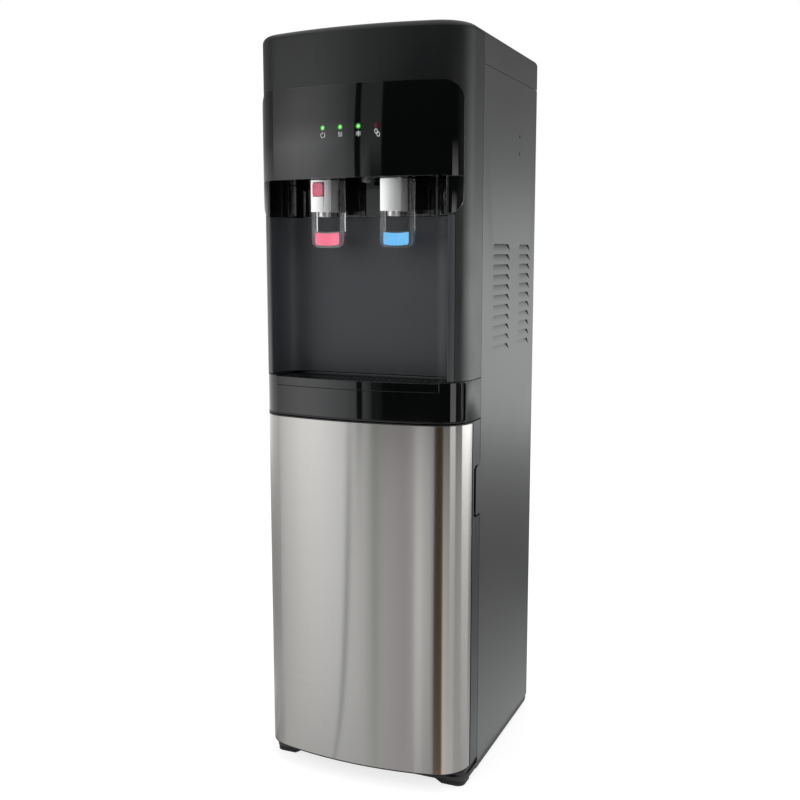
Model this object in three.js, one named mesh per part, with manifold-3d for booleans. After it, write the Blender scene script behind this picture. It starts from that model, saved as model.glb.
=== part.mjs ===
// Bottom load water cooler, in millimetres. +Z is up, the door faces -Y, and the origin lies on the floor
// under the middle of the cooler. Every sub-part is one closed solid in one named mesh.

import * as THREE from 'three';
import { mergeVertices } from 'three/addons/utils/BufferGeometryUtils.js';
import Module from 'manifold-3d';

const wasm = await Module();
wasm.setup();

// ---------------------------------------------------------------- driving dimensions

// Whole cooler
const WIDTH = 310;
const DEPTH = 352;
const HEIGHT = 1042;
const BOW_RADIUS = 541;
const CORNER_RADIUS = 50;
const TOP_EDGE_RADIUS = 9;
const HOOD_PROUD = 2;

// Levels near the floor, and the heights of the front's parts from the top edge down to the door
const BASE_BOTTOM_Z = 6;
const PANEL_BOTTOM_Z = 17;
const BASE_TOP_Z = 22;
const DOOR_BOTTOM_Z = 26.5;
const BROW_HEIGHT = 74.5;
const HOOD_HEIGHT = 119.5;
const HOUSING_HEIGHT = 49;
const ALCOVE_HEIGHT = 219.5;
const APRON_HEIGHT = 57.5;
const COVER_HEIGHT = 44.5;
const MOULDING_DEPTH = 92;

// Walls
const MOULDING = 3;
const THIN_MOULDING = 2.5;
const SHEET = 1;
const HEAVY_SHEET = 1.2;

// Clearances
const FIT = 0.4;
const SEAM = 0.8;
const DOOR_GAP = 1.6;

// Alcove, hood and recess
const ALCOVE_SIDE = 24;
const ALCOVE_DEPTH = 75;
const ALCOVE_CORNER = 36;
const LINER_FLANGE = 9;
const FACE_MARGIN = 5;
const HOOD_CORNER = 22;
const HOOD_LAP = 4;

// Indicator lamps and their board
const LAMP_NAMES = ['power_lamp', 'heating_lamp', 'cooling_lamp', 'empty_lamp'];
const LAMP_COLOURS = [0x4fd84a, 0x4fd84a, 0x4fd84a, 0x7a1414];
const LAMP_HEIGHT = 64.8;
const LAMP_FIRST_X = -38.3;
const LAMP_PITCH = 26.3;
const LAMP_RADIUS = 2.3;
const BOARD_SETBACK = 8;
const BOARD_HALF = 52;
const BOARD_THICKNESS = 1.6;
const BOARD_BELOW_LAMPS = 18;
const BOARD_ABOVE_LAMPS = 20;
const POST_X = 46;
const POST_RADIUS = 3;
const POST_ABOVE_LAMPS = 14;

// Taps
const TAP_X = 51.5;
const TAP_SETBACK = 29;
const TAP_WIDTH = 30;
const TAP_DEPTH = 28;
const TAP_CLEARANCE = 5;
const NOZZLE_LENGTH = 6.5;
const NOZZLE_RADIUS = 8;
const NOZZLE_BORE = 5;
const INLET_RADIUS = 8;
const INLET_HEIGHT = 14.4;
const LEVER_HALF = 24.6;
const LEVER_ARM = 6.4;
const LEVER_THICKNESS = 5;
const LEVER_DROP = 43;
const LEVER_HEADROOM = 5.1;
const LEVER_AXIS_Y = 11;
const LEVER_AXIS_DROP = 4.5;
const LEVER_PIN_RADIUS = 2.4;
const LEVER_FOOT = 3;
const LEVER_PIN_DEPTH = 3.6;
const PAD_HEIGHT = 16.6;
const LOCK_WIDTH = 15.2;
const LOCK_HEIGHT = 17.7;
const LOCK_X = -4;
const LOCK_DROP = 13.4;
const LOCK_PROUD = 2.5;
const LOCK_LENGTH = 7.5;
const LOCK_STROKE = 2.5;
const LOCK_RIM = 2;
const NIGHT_LIGHT_FORWARD = 20;

// Drip tray
const TRAY_SIDE_GAP = 8.6;
const TRAY_BACK_GAP = 3;
const TRAY_DROP = 14;
const TRAY_LIP_DROP = 1.9;
const TRAY_WALL = 2.4;
const TRAY_PROUD = 0.6;
const GRILLE_THICKNESS = 2.4;
const GRILLE_SLOT = 4;
const GRILLE_PITCH = 9;
const GRILLE_MARGIN = 9;
const GRILLE_SLOT_LENGTH = 23;

// Apron between tray and door
const APRON_PANEL_THICKNESS = 2;
const APRON_PANEL_MARGIN = 2;
const APRON_FLOOR = 2.4;

// Door
const SKIN_DEPTH = 57.5;
const SKIN_THICKNESS = 0.9;
const DOOR_LIP = 1.2;
const HINGE_INSET = 10;
const HINGE_PIN_RADIUS = 3;
const HINGE_BOSS = 7.8;
const HINGE_BOSS_HEIGHT = 19;
const DISH_SIDE = 25;
const DISH_SETBACK = 46;
const DISH_FOOT = 33.5;
const DISH_HEAD = 32;
const GRIP_HEAD = 63;
const GRIP_HEIGHT = 73;
const GRIP_LIP = 20.4;
const GRIP_DEPTH = 17;
const GRIP_HOOK = 6;
const MAGNET_WIDTH = 10;
const MAGNET_SIDE = 12;
const MAGNET_LENGTH = 50;
const MAGNET_BELOW_GRIP = 86;
const MAGNET_THICKNESS = 2.2;
const BRACKET_LENGTH = 36;
const BRACKET_REACH = 14;

// Louvres of the side panels
const LOUVRE_COUNT = 11;
const LOUVRE_PITCH = 14.4;
const LOUVRE_HEIGHT = 9.5;
const LOUVRE_DEPTH = 5.5;
const LOUVRE_FRONT_GAP = 46;
const LOUVRE_FRONT_LENGTH = 83;
const LOUVRE_REAR_GAP = 24;
const LOUVRE_REAR_LENGTH = 62;
const PANEL_FLANGE = 15;

// Base and feet
const BASE_SETBACK = 43;
const BASE_SIDE = 4;
const BASE_CORNER = 12;
const BASE_HOLLOW_HALF = 95;
const FOOT_WIDTH_TOP = 42;
const FOOT_WIDTH_BOTTOM = 32;
const FOOT_LENGTH = 30;
const REAR_FOOT_RADIUS = 15;
const REAR_FOOT_SIDE = 23;
const REAR_FOOT_GAP = 24;

// Bottle compartment, shelves and rear
const LINER_WALL = 2;
const LINER_REAR_GAP = 7;
const TANK_SHELF_HEADROOM = 282;
const TANK_SHELF_SETBACK = 22;
const TANK_SHELF_STEP = 4;
const TANK_SHELF_RIM = 20;
const REAR_STEP_HEIGHT = 20.2;
const REAR_STEP_DEPTH = 16.6;

// Bottle probe and pump
const PROBE_SIDE = 33;
const PROBE_REAR_GAP = 46;
const PROBE_BOTTOM_Z = 60;
const PROBE_RADIUS = 7;
const COLLAR_RADIUS = 22;
const COLLAR_HEIGHT = 21.6;
const HOOK_DROP = 88;
const HOOK_THICKNESS = 4;
const HOSE_RADIUS = 5.2;
const HOSE_BORE = 3.6;
const SUCTION_RISE = 21.4;
const NIPPLE_RADIUS = 3.2;
const NIPPLE_LENGTH = 40;
const GROMMET_RADIUS = 8;
const PASSAGE_X = 10;
const PASSAGE_REAR_GAP = 36;
const PUMP_RISE = 51.2;
const PUMP_HEIGHT = 52;
const PUMP_HALF = 22;
const PUMP_FOOT_LENGTH = 24;
const PUMP_OUTLET_OFFSET = 16;
const PUMP_OUTLET_HEIGHT = 8;
const MOTOR_RADIUS = 19;
const MOTOR_LENGTH = 44;

// Tanks and refrigeration
const HOT_TANK = { x: -78, y: 50, radius: 48, headroom: 112 };
const COLD_TANK = { x: 74, y: 55, radius: 52, headroom: 82 };
const TANK_SIDES = 20;
const TANK_EDGE = 8;
const TANK_WALL = 1.5;
const TANK_NIPPLE = 12;
const HOT_NIPPLE_FORWARD = 30;
const COLD_NIPPLE_BACK = 25;
const COLD_OUTLET_LENGTH = 13;
const COLD_OUTLET_RISE = 23.8;
const EVAPORATOR_TURNS = 6;
const EVAPORATOR_PITCH = 10;
const EVAPORATOR_RISE = 38.8;
const COMPRESSOR = { x: -70, y: 60, radius: 60, height: 152 };
const COMPRESSOR_FOOT = 3;
const COMPRESSOR_FOOT_HALF = [62, 46];
const CONDENSER_ROWS = 11;
const CONDENSER_PITCH = 30;
const CONDENSER_RISE = 55;
const CONDENSER_SIDE = 45;
const CONDENSER_SETBACK = 7.6;
const CONDENSER_TUBE = 2.4;
const CONDENSER_WIRE = 1.6;
const WIRE_PITCH = 28;
const WIRE_COUNT = 8;
const CONDENSER_MARGIN = 10;
const CONDENSER_FOOT_WIDTH = 14;
const CONDENSER_FOOT_HALF = 4;

// Rear switches, gland and drain
const SWITCH_NAMES = ['heating_switch', 'cooling_switch', 'night_light_switch'];
const SWITCH_COLOURS = [0xa02420, 0x1f6f45, 0x2d2d30];
const SWITCH_FIRST_X = -60;
const SWITCH_PITCH = 25;
const SWITCH_DROP = 56.5;
const SWITCH_HALF_WIDTH = 8;
const SWITCH_HALF_HEIGHT = 11.2;
const SWITCH_AXIS_OFFSET = 2.4;
const GLAND = { x: 110, z: 60, radius: 10, shank: 7 };
const DRAIN = { x: -100, rise: 20, radius: 9, shank: 6 };

// ---------------------------------------------------------------- derived values

// Planes and centres seen from above
const REAR_Y = DEPTH / 2;
const FRONT_Y = -DEPTH / 2 + HOOD_PROUD;
const HALF = WIDTH / 2;
const PANEL_INNER = HALF - SHEET;
const INSIDE_HALF = PANEL_INNER - FIT;
const FACE_HALF = HALF - FACE_MARGIN;
const BOW_Y = FRONT_Y + BOW_RADIUS;
const CORNER_X = HALF - CORNER_RADIUS;
const CORNER_Y = BOW_Y - Math.sqrt((BOW_RADIUS - CORNER_RADIUS) ** 2 - CORNER_X ** 2);
const CORNER_TURN = Math.atan2(BOW_Y - CORNER_Y, CORNER_X);
const SEAM_Y = FRONT_Y + MOULDING_DEPTH;
const MOULDING_REAR_Y = SEAM_Y - SEAM;
const DOOR_REAR_Y = SEAM_Y - DOOR_GAP;
const HINGE_X = -HALF + HINGE_INSET;
const HINGE_Y = DOOR_REAR_Y - HINGE_INSET;
const REAR_INNER_Y = REAR_Y - SHEET - FIT;
const REAR_STEP_Y = REAR_Y - REAR_STEP_DEPTH;
const REAR_PANEL_OUTER_Y = REAR_STEP_Y + HEAVY_SHEET;
const FAR = 400;

// Levels
const HOOD_TOP_Z = HEIGHT - BROW_HEIGHT;
const HOOD_BOTTOM_Z = HOOD_TOP_Z - HOOD_HEIGHT;
const HOUSING_BOTTOM_Z = HOOD_BOTTOM_Z - HOUSING_HEIGHT;
const TRAY_SEAM_Z = HOUSING_BOTTOM_Z - ALCOVE_HEIGHT;
const DOOR_TOP_Z = TRAY_SEAM_Z - APRON_HEIGHT;
const COVER_SEAM_Z = HEIGHT - COVER_HEIGHT;
const APRON_BOTTOM_Z = DOOR_TOP_Z + DOOR_GAP;
const APRON_TOP_Z = TRAY_SEAM_Z - FIT;
const SHELL_BOTTOM_Z = TRAY_SEAM_Z + FIT;
const CEILING_Z = HOOD_BOTTOM_Z - FIT;
const DIVIDER_Z = APRON_BOTTOM_Z;
const DIVIDER_TOP_Z = DIVIDER_Z + HEAVY_SHEET;
const TANK_SHELF_Z = HEIGHT - TANK_SHELF_HEADROOM;
const TANK_SHELF_TOP_Z = TANK_SHELF_Z + HEAVY_SHEET;
const REAR_STEP_Z = DIVIDER_TOP_Z + REAR_STEP_HEIGHT;

// Alcove, lamps and taps
const ALCOVE_HALF = HALF - ALCOVE_SIDE;
const ALCOVE_BACK_Y = FRONT_Y + ALCOVE_DEPTH;
const FLANGE_OUTER = ALCOVE_HALF + LINER_FLANGE;
const LAMP_Z = HOOD_BOTTOM_Z + LAMP_HEIGHT;
const BOARD_Y = FRONT_Y + BOARD_SETBACK;
const TAP_Y = FRONT_Y + TAP_SETBACK;
const TAP_BOTTOM_Z = HOUSING_BOTTOM_Z + TAP_CLEARANCE;
const NOZZLE_BOTTOM_Z = TAP_BOTTOM_Z - NOZZLE_LENGTH;
const INLET_TOP_Z = CEILING_Z + INLET_HEIGHT;
const LEVER_BOTTOM_Z = HOUSING_BOTTOM_Z - LEVER_DROP;
const LEVER_TOP_Z = CEILING_Z - LEVER_HEADROOM;
const LEVER_AXIS_Z = LEVER_TOP_Z - LEVER_AXIS_DROP;
const LOCK_Z = CEILING_Z - LOCK_DROP;

// Tray, apron and door
const TRAY_HALF = ALCOVE_HALF - TRAY_SIDE_GAP;
const TRAY_BACK_Y = ALCOVE_BACK_Y - TRAY_BACK_GAP;
const TRAY_BOTTOM_Z = TRAY_SEAM_Z - TRAY_DROP;
const TRAY_TOP_Z = TRAY_SEAM_Z - TRAY_LIP_DROP;
const APRON_SHELF_Z = TRAY_BOTTOM_Z - MOULDING - FIT;
const SKIN_REAR_Y = FRONT_Y + SKIN_DEPTH;
const DISH_HALF = HALF - DISH_SIDE;
const DISH_FRONT_Y = FRONT_Y + DISH_SETBACK;
const DISH_BOTTOM_Z = DOOR_BOTTOM_Z + DISH_FOOT;
const DISH_TOP_Z = DOOR_TOP_Z - DISH_HEAD;
const GRIP_TOP_Z = DOOR_TOP_Z - GRIP_HEAD;
const GRIP_BOTTOM_Z = GRIP_TOP_Z - GRIP_HEIGHT;
const GRIP_LIP_Y = DOOR_REAR_Y - GRIP_LIP;
const MAGNET_X = HALF - MAGNET_SIDE;
const MAGNET_HIGH_Z = GRIP_BOTTOM_Z - MAGNET_BELOW_GRIP;
const MAGNET_LOW_Z = MAGNET_HIGH_Z - MAGNET_LENGTH;

// Base, compartment and rear
const BASE_FRONT_Y = FRONT_Y + BASE_SETBACK;
const BASE_FRONT_HALF = HALF - BASE_SIDE;
const REAR_FOOT_X = HALF - REAR_FOOT_SIDE;
const REAR_FOOT_Y = REAR_Y - REAR_FOOT_GAP;
const LOUVRE_TOP_Z = TANK_SHELF_Z + HEAVY_SHEET + FIT;
const LOUVRE_FRONT_Y = SEAM_Y + LOUVRE_FRONT_GAP;
const LOUVRE_REAR_Y = REAR_Y - LOUVRE_REAR_GAP;
const LINER_BACK_Y = REAR_Y - LINER_REAR_GAP;
const PROBE_X = HALF - PROBE_SIDE;
const PROBE_Y = REAR_Y - PROBE_REAR_GAP;
const HOOK_TOP_Z = DOOR_TOP_Z - HOOK_DROP;
const SUCTION_TOP_Z = DIVIDER_Z + SUCTION_RISE;
const PASSAGE = [PASSAGE_X, REAR_Y - PASSAGE_REAR_GAP];
const PUMP_BOTTOM_Z = DIVIDER_TOP_Z + PUMP_RISE;
const PUMP_TOP_Z = PUMP_BOTTOM_Z + PUMP_HEIGHT;
const HOT_NIPPLE_Y = HOT_TANK.y - HOT_NIPPLE_FORWARD;
const COLD_NIPPLE_Y = COLD_TANK.y + COLD_NIPPLE_BACK;
const COLD_OUTLET_Y = COLD_TANK.y - COLD_TANK.radius - COLD_OUTLET_LENGTH;
const COLD_OUTLET_Z = TANK_SHELF_TOP_Z + COLD_OUTLET_RISE;
const EVAPORATOR_BOTTOM_Z = TANK_SHELF_TOP_Z + EVAPORATOR_RISE;
const CONDENSER_HALF = HALF - CONDENSER_SIDE;
const CONDENSER_BOTTOM_Z = REAR_STEP_Z + CONDENSER_RISE;
const CONDENSER_Y = REAR_Y - CONDENSER_SETBACK;
const SWITCH_Z = COVER_SEAM_Z - SWITCH_DROP;
const SWITCH_AXIS_Y = REAR_PANEL_OUTER_Y + SWITCH_AXIS_OFFSET;
const DRAIN_Z = REAR_STEP_Z + DRAIN.rise;

// ---------------------------------------------------------------- finishes

const SATIN_BLACK = { color: 0x3a3c3e, roughness: 0.42, metalness: 0 };
const GLOSS_BLACK = { color: 0x0c0d0f, roughness: 0.08, metalness: 0 };
const PANEL_PAINT = { color: 0x55534f, roughness: 0.45, metalness: 0.1 };
const STAINLESS = { color: 0xd2d0cc, roughness: 0.3, metalness: 1 };
const BASE_BLACK = { color: 0x1c1c1e, roughness: 0.6, metalness: 0 };
const RUBBER = { color: 0x161616, roughness: 0.85, metalness: 0 };
const SILVER = { color: 0xd9dbdc, roughness: 0.3, metalness: 0.6 };
const CLEAR = { color: 0xf2f5f6, roughness: 0.05, metalness: 0 };
const RED_PAD = { color: 0xd2626c, roughness: 0.35, metalness: 0 };
const BLUE_PAD = { color: 0x7cc3ec, roughness: 0.35, metalness: 0 };
const WHITE_PLASTIC = { color: 0xe9eaea, roughness: 0.4, metalness: 0 };
const SILICONE = { color: 0xdfe3e4, roughness: 0.4, metalness: 0 };
const ZINC_STEEL = { color: 0x9a9c9e, roughness: 0.4, metalness: 0.9 };
const BLACK_STEEL = { color: 0x161719, roughness: 0.5, metalness: 0.3 };
const COPPER = { color: 0xb87048, roughness: 0.35, metalness: 1 };
const BOARD_GREEN = { color: 0x1f5a38, roughness: 0.5, metalness: 0 };

// ---------------------------------------------------------------- solids and outlines

// A closed three.js geometry as a solid for cutting and joining.
function solid(geometry) {
  const bare = geometry.clone();
  bare.deleteAttribute('normal');
  bare.deleteAttribute('uv');
  const merged = mergeVertices(bare, 1e-4);
  const mesh = new wasm.Mesh({
    numProp: 3,
    vertProperties: Float32Array.from(merged.attributes.position.array),
    triVerts: Uint32Array.from(merged.index.array),
  });
  return new wasm.Manifold(mesh);
}

function join(solids) {
  return solids.reduce((whole, piece) => whole.add(piece));
}

// A box between two values on each axis.
function box([x0, x1], [y0, y1], [z0, z1]) {
  const geometry = new THREE.BoxGeometry(x1 - x0, y1 - y0, z1 - z0);
  geometry.translate((x0 + x1) / 2, (y0 + y1) / 2, (z0 + z1) / 2);
  return solid(geometry);
}

// The same box given by its part right of the middle, on the side that sign names.
function sideBox(sign, [x0, x1], y, z) {
  return box(sign > 0 ? [x0, x1] : [-x1, -x0], y, z);
}

function extrusion(points, length) {
  const shape = new THREE.Shape(points);
  return new THREE.ExtrudeGeometry(shape, { depth: length, bevelEnabled: false });
}

function toPoints(pairs) {
  return pairs.map(([u, v]) => new THREE.Vector2(u, v));
}

// Outline in (x, y), raised from z0 to z1.
function prismZ(points, [z0, z1]) {
  const geometry = extrusion(points, z1 - z0);
  geometry.translate(0, 0, z0);
  return solid(geometry);
}

// Outline in (y, z), drawn out from x0 to x1.
function prismX(points, [x0, x1]) {
  const geometry = extrusion(points, x1 - x0);
  geometry.applyMatrix4(new THREE.Matrix4().set(0, 0, 1, x0, 1, 0, 0, 0, 0, 1, 0, 0, 0, 0, 0, 1));
  return solid(geometry);
}

// Outline in (x, z), drawn out from y0 to y1.
function prismY(points, [y0, y1]) {
  const geometry = extrusion(points, y1 - y0);
  geometry.applyMatrix4(new THREE.Matrix4().set(1, 0, 0, 0, 0, 0, -1, y1, 0, 1, 0, 0, 0, 0, 0, 1));
  return solid(geometry);
}

function cylinderZ(radius, [x, y], [z0, z1], sides = 24) {
  const geometry = new THREE.CylinderGeometry(radius, radius, z1 - z0, sides);
  geometry.rotateX(Math.PI / 2);
  geometry.translate(x, y, (z0 + z1) / 2);
  return solid(geometry);
}

function cylinderY(radius, [x, z], [y0, y1], sides = 20) {
  const geometry = new THREE.CylinderGeometry(radius, radius, y1 - y0, sides);
  geometry.translate(x, (y0 + y1) / 2, z);
  return solid(geometry);
}

function cylinderX(radius, [y, z], [x0, x1], sides = 16) {
  const geometry = new THREE.CylinderGeometry(radius, radius, x1 - x0, sides);
  geometry.rotateZ(Math.PI / 2);
  geometry.translate((x0 + x1) / 2, y, z);
  return solid(geometry);
}

// A profile of (radius, z) pairs turned about the vertical through (x, y).
function turned(profile, [x, y], sides = 32) {
  const geometry = new THREE.LatheGeometry(toPoints(profile), sides);
  geometry.rotateX(Math.PI / 2);
  geometry.translate(x, y, 0);
  return solid(geometry);
}

function arc(cx, cy, radius, from, to, steps) {
  return Array.from({ length: steps + 1 }, (_, i) => {
    const angle = from + ((to - from) * i) / steps;
    return new THREE.Vector2(cx + radius * Math.cos(angle), cy + radius * Math.sin(angle));
  });
}

// Rectangle with its own radius at lower left, lower right, upper right and upper left.
function roundedOutline([u0, u1], [v0, v1], [lowerLeft, lowerRight, upperRight, upperLeft], steps = 5) {
  const quarter = Math.PI / 2;
  const corner = (u, v, signU, signV, radius, from) => (radius > 0
    ? arc(u - signU * radius, v - signV * radius, radius, from, from + quarter, steps)
    : [new THREE.Vector2(u, v)]);
  return [
    ...corner(u0, v0, -1, -1, lowerLeft, 2 * quarter),
    ...corner(u1, v0, 1, -1, lowerRight, 3 * quarter),
    ...corner(u1, v1, 1, 1, upperRight, 0),
    ...corner(u0, v1, -1, 1, upperLeft, quarter),
  ];
}

// The cooler's outline seen from above, moved inwards by inset and closed at rearY.
function planOutline(inset, rearY) {
  const side = HALF - inset;
  const corner = CORNER_RADIUS - inset;
  const right = arc(CORNER_X, CORNER_Y, corner, 0, -CORNER_TURN, 8);
  const bow = arc(0, BOW_Y, BOW_RADIUS - inset, -CORNER_TURN, CORNER_TURN - Math.PI, 10);
  const left = arc(-CORNER_X, CORNER_Y, corner, CORNER_TURN - Math.PI, -Math.PI, 8);
  const rear = [new THREE.Vector2(-side, rearY), new THREE.Vector2(side, rearY)];
  return [...right, ...bow.slice(1, -1), ...left, ...rear];
}

function plan(inset, z, rearY = REAR_Y) {
  return prismZ(planOutline(inset, rearY), z);
}

// A wall that follows the front, between two insets.
function band(outer, inner, z, rearY = REAR_Y) {
  return plan(outer, z, rearY).subtract(plan(inner, [z[0] - 1, z[1] + 1], rearY + 1));
}

// Everything in front of, or behind, a plane across the cooler.
function before(y) {
  return box([-FAR, FAR], [-FAR, y], [-FAR, HEIGHT + FAR]);
}

function behind(y) {
  return box([-FAR, FAR], [y, FAR], [-FAR, HEIGHT + FAR]);
}

// Surface of the bowed front at x, moved outwards by proud.
function bowY(x, proud = 0) {
  return BOW_Y - Math.sqrt((BOW_RADIUS + proud) ** 2 - x ** 2);
}

// The cabinet's upper block with its rounded top edge, moved inwards by inset.
function topBlock(inset, bottomZ) {
  const shape = new THREE.Shape(planOutline(inset, REAR_Y - inset));
  const edge = TOP_EDGE_RADIUS - inset;
  const top = HEIGHT - inset;
  const geometry = new THREE.ExtrudeGeometry(shape, {
    depth: top - bottomZ,
    bevelEnabled: true,
    bevelThickness: edge,
    bevelSize: edge,
    bevelOffset: -edge,
    bevelSegments: 4,
  });
  geometry.translate(0, 0, bottomZ - edge);
  return solid(geometry).intersect(box([-FAR, FAR], [-FAR, FAR], [bottomZ, HEIGHT + FAR]));
}

// A path that keeps its own points as the steps of an extrusion.
class Route extends THREE.Curve {
  constructor(points) {
    super();
    this.points = points;
  }

  getPointAt(u) {
    return this.points[Math.round(u * (this.points.length - 1))].clone();
  }

  getTangentAt(u) {
    const index = Math.round(u * (this.points.length - 1));
    const last = this.points[Math.max(index - 1, 0)];
    const next = this.points[Math.min(index + 1, this.points.length - 1)];
    return next.clone().sub(last).normalize();
  }
}

function tube(points, radius, sides = 8) {
  const section = new THREE.Shape(arc(0, 0, radius, 0, 2 * Math.PI * (1 - 1 / sides), sides - 1));
  const geometry = new THREE.ExtrudeGeometry(section, {
    steps: points.length - 1,
    extrudePath: new Route(points),
    bevelEnabled: false,
  });
  return solid(geometry);
}

// A hose through hand-set points, leaving straight at both ends.
function hose(triples, steps = 20) {
  const curve = new THREE.CatmullRomCurve3(triples.map(([x, y, z]) => new THREE.Vector3(x, y, z)));
  return tube(curve.getSpacedPoints(steps), HOSE_RADIUS, 8);
}

// ---------------------------------------------------------------- the assembly

const cooler = new THREE.Group();

function add(name, piece, finish, [x, y, z] = [0, 0, 0]) {
  const data = piece.getMesh();
  const geometry = new THREE.BufferGeometry();
  geometry.setAttribute('position', new THREE.BufferAttribute(data.vertProperties, 3));
  geometry.setIndex(new THREE.BufferAttribute(data.triVerts, 1));
  geometry.computeVertexNormals();
  const mesh = new THREE.Mesh(geometry, new THREE.MeshStandardMaterial(finish));
  mesh.name = name;
  mesh.position.set(x, y, z);
  cooler.add(mesh);
}

// ---- Base and feet

// A hollow slab, wide between the side panels and narrower where it reaches under the door.
function baseTray() {
  const z = [BASE_BOTTOM_Z, BASE_TOP_Z];
  const rear = REAR_INNER_Y - HEAVY_SHEET - FIT;
  const slab = prismZ(basePlan(0), z).add(box([-INSIDE_HALF, INSIDE_HALF], [SEAM_Y, rear], z));
  const hollowX = [-BASE_HOLLOW_HALF, BASE_HOLLOW_HALF];
  const hollow = box(hollowX, [SEAM_Y, rear - 40], [0, BASE_TOP_Z - MOULDING]);
  return slab.subtract(hollow);
}

// The part of the base under the door seen from above, moved inwards by inset.
function basePlan(inset) {
  const half = BASE_FRONT_HALF - inset;
  const corner = BASE_CORNER - inset;
  return roundedOutline([-half, half], [BASE_FRONT_Y + inset, 0], [corner, corner, 0, 0]);
}

// A toe foot under a front corner of the base, its inner side slanted.
function frontFoot(sign) {
  const outer = BASE_FRONT_HALF - 1;
  const top = BASE_BOTTOM_Z - FIT;
  const outline = toPoints([
    [sign * outer, 0],
    [sign * outer, top],
    [sign * (outer - FOOT_WIDTH_TOP), top],
    [sign * (outer - FOOT_WIDTH_BOTTOM), 0],
  ]);
  const reach = [BASE_FRONT_Y + 1, BASE_FRONT_Y + FOOT_LENGTH];
  return prismY(outline, reach).intersect(prismZ(basePlan(1), [-1, top + 1]));
}

function rearFoot() {
  return cylinderZ(REAR_FOOT_RADIUS, [0, 0], [0, BASE_BOTTOM_Z - FIT], 20);
}

add('base_tray', baseTray(), BASE_BLACK);
add('foot_front_left', frontFoot(-1), RUBBER);
add('foot_front_right', frontFoot(1), RUBBER);
add('foot_rear_left', rearFoot(), RUBBER, [-REAR_FOOT_X, REAR_FOOT_Y, 0]);
add('foot_rear_right', rearFoot(), RUBBER, [REAR_FOOT_X, REAR_FOOT_Y, 0]);

// ---- Side panels

// Sheet pressed inwards, flush at the louvre's foot and set back at its open top edge.
function louvreShell(sign, y, z) {
  const top = z + LOUVRE_HEIGHT;
  const outline = toPoints([
    [sign * (PANEL_INNER + SHEET / 2), z - SHEET],
    [sign * (PANEL_INNER + SHEET / 2), top],
    [sign * (PANEL_INNER - LOUVRE_DEPTH), top],
    [sign * (PANEL_INNER - SHEET / 4), z - SHEET],
  ]);
  return prismY(outline, [y[0] - SHEET, y[1] + SHEET]);
}

function louvreVoid(sign, y, z) {
  const top = z + LOUVRE_HEIGHT;
  const outline = toPoints([
    [sign * HALF, z],
    [sign * (HALF + 1), z],
    [sign * (HALF + 1), top],
    [sign * (HALF - LOUVRE_DEPTH), top],
  ]);
  return prismY(outline, y);
}

function sidePanel(sign) {
  const z = [PANEL_BOTTOM_Z, COVER_SEAM_Z - FIT];
  const sheet = sideBox(sign, [PANEL_INNER, HALF], [SEAM_Y, REAR_Y], z);
  const flange = sideBox(sign, [HALF - PANEL_FLANGE, HALF], [REAR_Y - SHEET, REAR_Y], z);
  const columns = [
    [LOUVRE_FRONT_Y, LOUVRE_FRONT_Y + LOUVRE_FRONT_LENGTH],
    [LOUVRE_REAR_Y - LOUVRE_REAR_LENGTH, LOUVRE_REAR_Y],
  ];
  const spots = columns.flatMap((y) => (
    Array.from({ length: LOUVRE_COUNT }, (_, i) => [y, LOUVRE_TOP_Z - LOUVRE_HEIGHT - i * LOUVRE_PITCH])));
  const shells = spots.map(([y, bottom]) => louvreShell(sign, y, bottom));
  const voids = spots.map(([y, bottom]) => louvreVoid(sign, y, bottom));
  return join([sheet, flange, ...shells]).subtract(join(voids));
}

add('left_side_panel', sidePanel(-1), PANEL_PAINT);
add('right_side_panel', sidePanel(1), PANEL_PAINT);

// ---- Rear panel, gland and drain

// One bent sheet: flush below, stepped in above to make room for the condenser.
function rearPanel() {
  const lowY = [REAR_INNER_Y - HEAVY_SHEET, REAR_INNER_Y];
  const highY = [REAR_STEP_Y, REAR_PANEL_OUTER_Y];
  const bottom = BASE_TOP_Z - MOULDING;
  const top = COVER_SEAM_Z - FIT;
  const stepBottom = REAR_STEP_Z - HEAVY_SHEET;
  const section = toPoints([
    [lowY[1], bottom],
    [lowY[1], REAR_STEP_Z],
    [highY[1], REAR_STEP_Z],
    [highY[1], top],
    [highY[0], top],
    [highY[0], stepBottom],
    [lowY[0], stepBottom],
    [lowY[0], bottom],
  ]);
  const sheet = prismX(section, [-INSIDE_HALF, INSIDE_HALF]);
  const holes = [
    cylinderY(GLAND.shank + FIT, [GLAND.x, GLAND.z], [REAR_STEP_Y, REAR_Y + 1]),
    cylinderY(DRAIN.shank + FIT, [DRAIN.x, DRAIN_Z], [REAR_STEP_Y - 1, REAR_Y]),
    switchBox(SWITCH_HALF_WIDTH + 2, SWITCH_HALF_HEIGHT + 2, [highY[0] - 1, highY[1] + 1]),
  ];
  return sheet.subtract(join(holes));
}

function switchXs() {
  return SWITCH_NAMES.map((_, i) => SWITCH_FIRST_X + i * SWITCH_PITCH);
}

// A box over the whole row of rockers, reaching past the outer ones' middles by halfWidth.
function switchBox(halfWidth, halfHeight, y) {
  const xs = switchXs();
  const x = [xs[0] - halfWidth, xs[xs.length - 1] + halfWidth];
  return box(x, y, [SWITCH_Z - halfHeight, SWITCH_Z + halfHeight]);
}

// Clear window round one rocker.
function switchWindow(x, y) {
  const halfWidth = SWITCH_HALF_WIDTH + FIT;
  const halfHeight = SWITCH_HALF_HEIGHT + FIT;
  const z = [SWITCH_Z - halfHeight, SWITCH_Z + halfHeight];
  return box([x - halfWidth, x + halfWidth], [y[0] - 1, y[1] + 1], z);
}

function gland() {
  const face = REAR_INNER_Y + FIT;
  const centre = [GLAND.x, GLAND.z];
  const collar = cylinderY(GLAND.radius, centre, [face, REAR_Y]);
  return collar.add(cylinderY(GLAND.shank, centre, [face - 4, face + FIT]));
}

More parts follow.
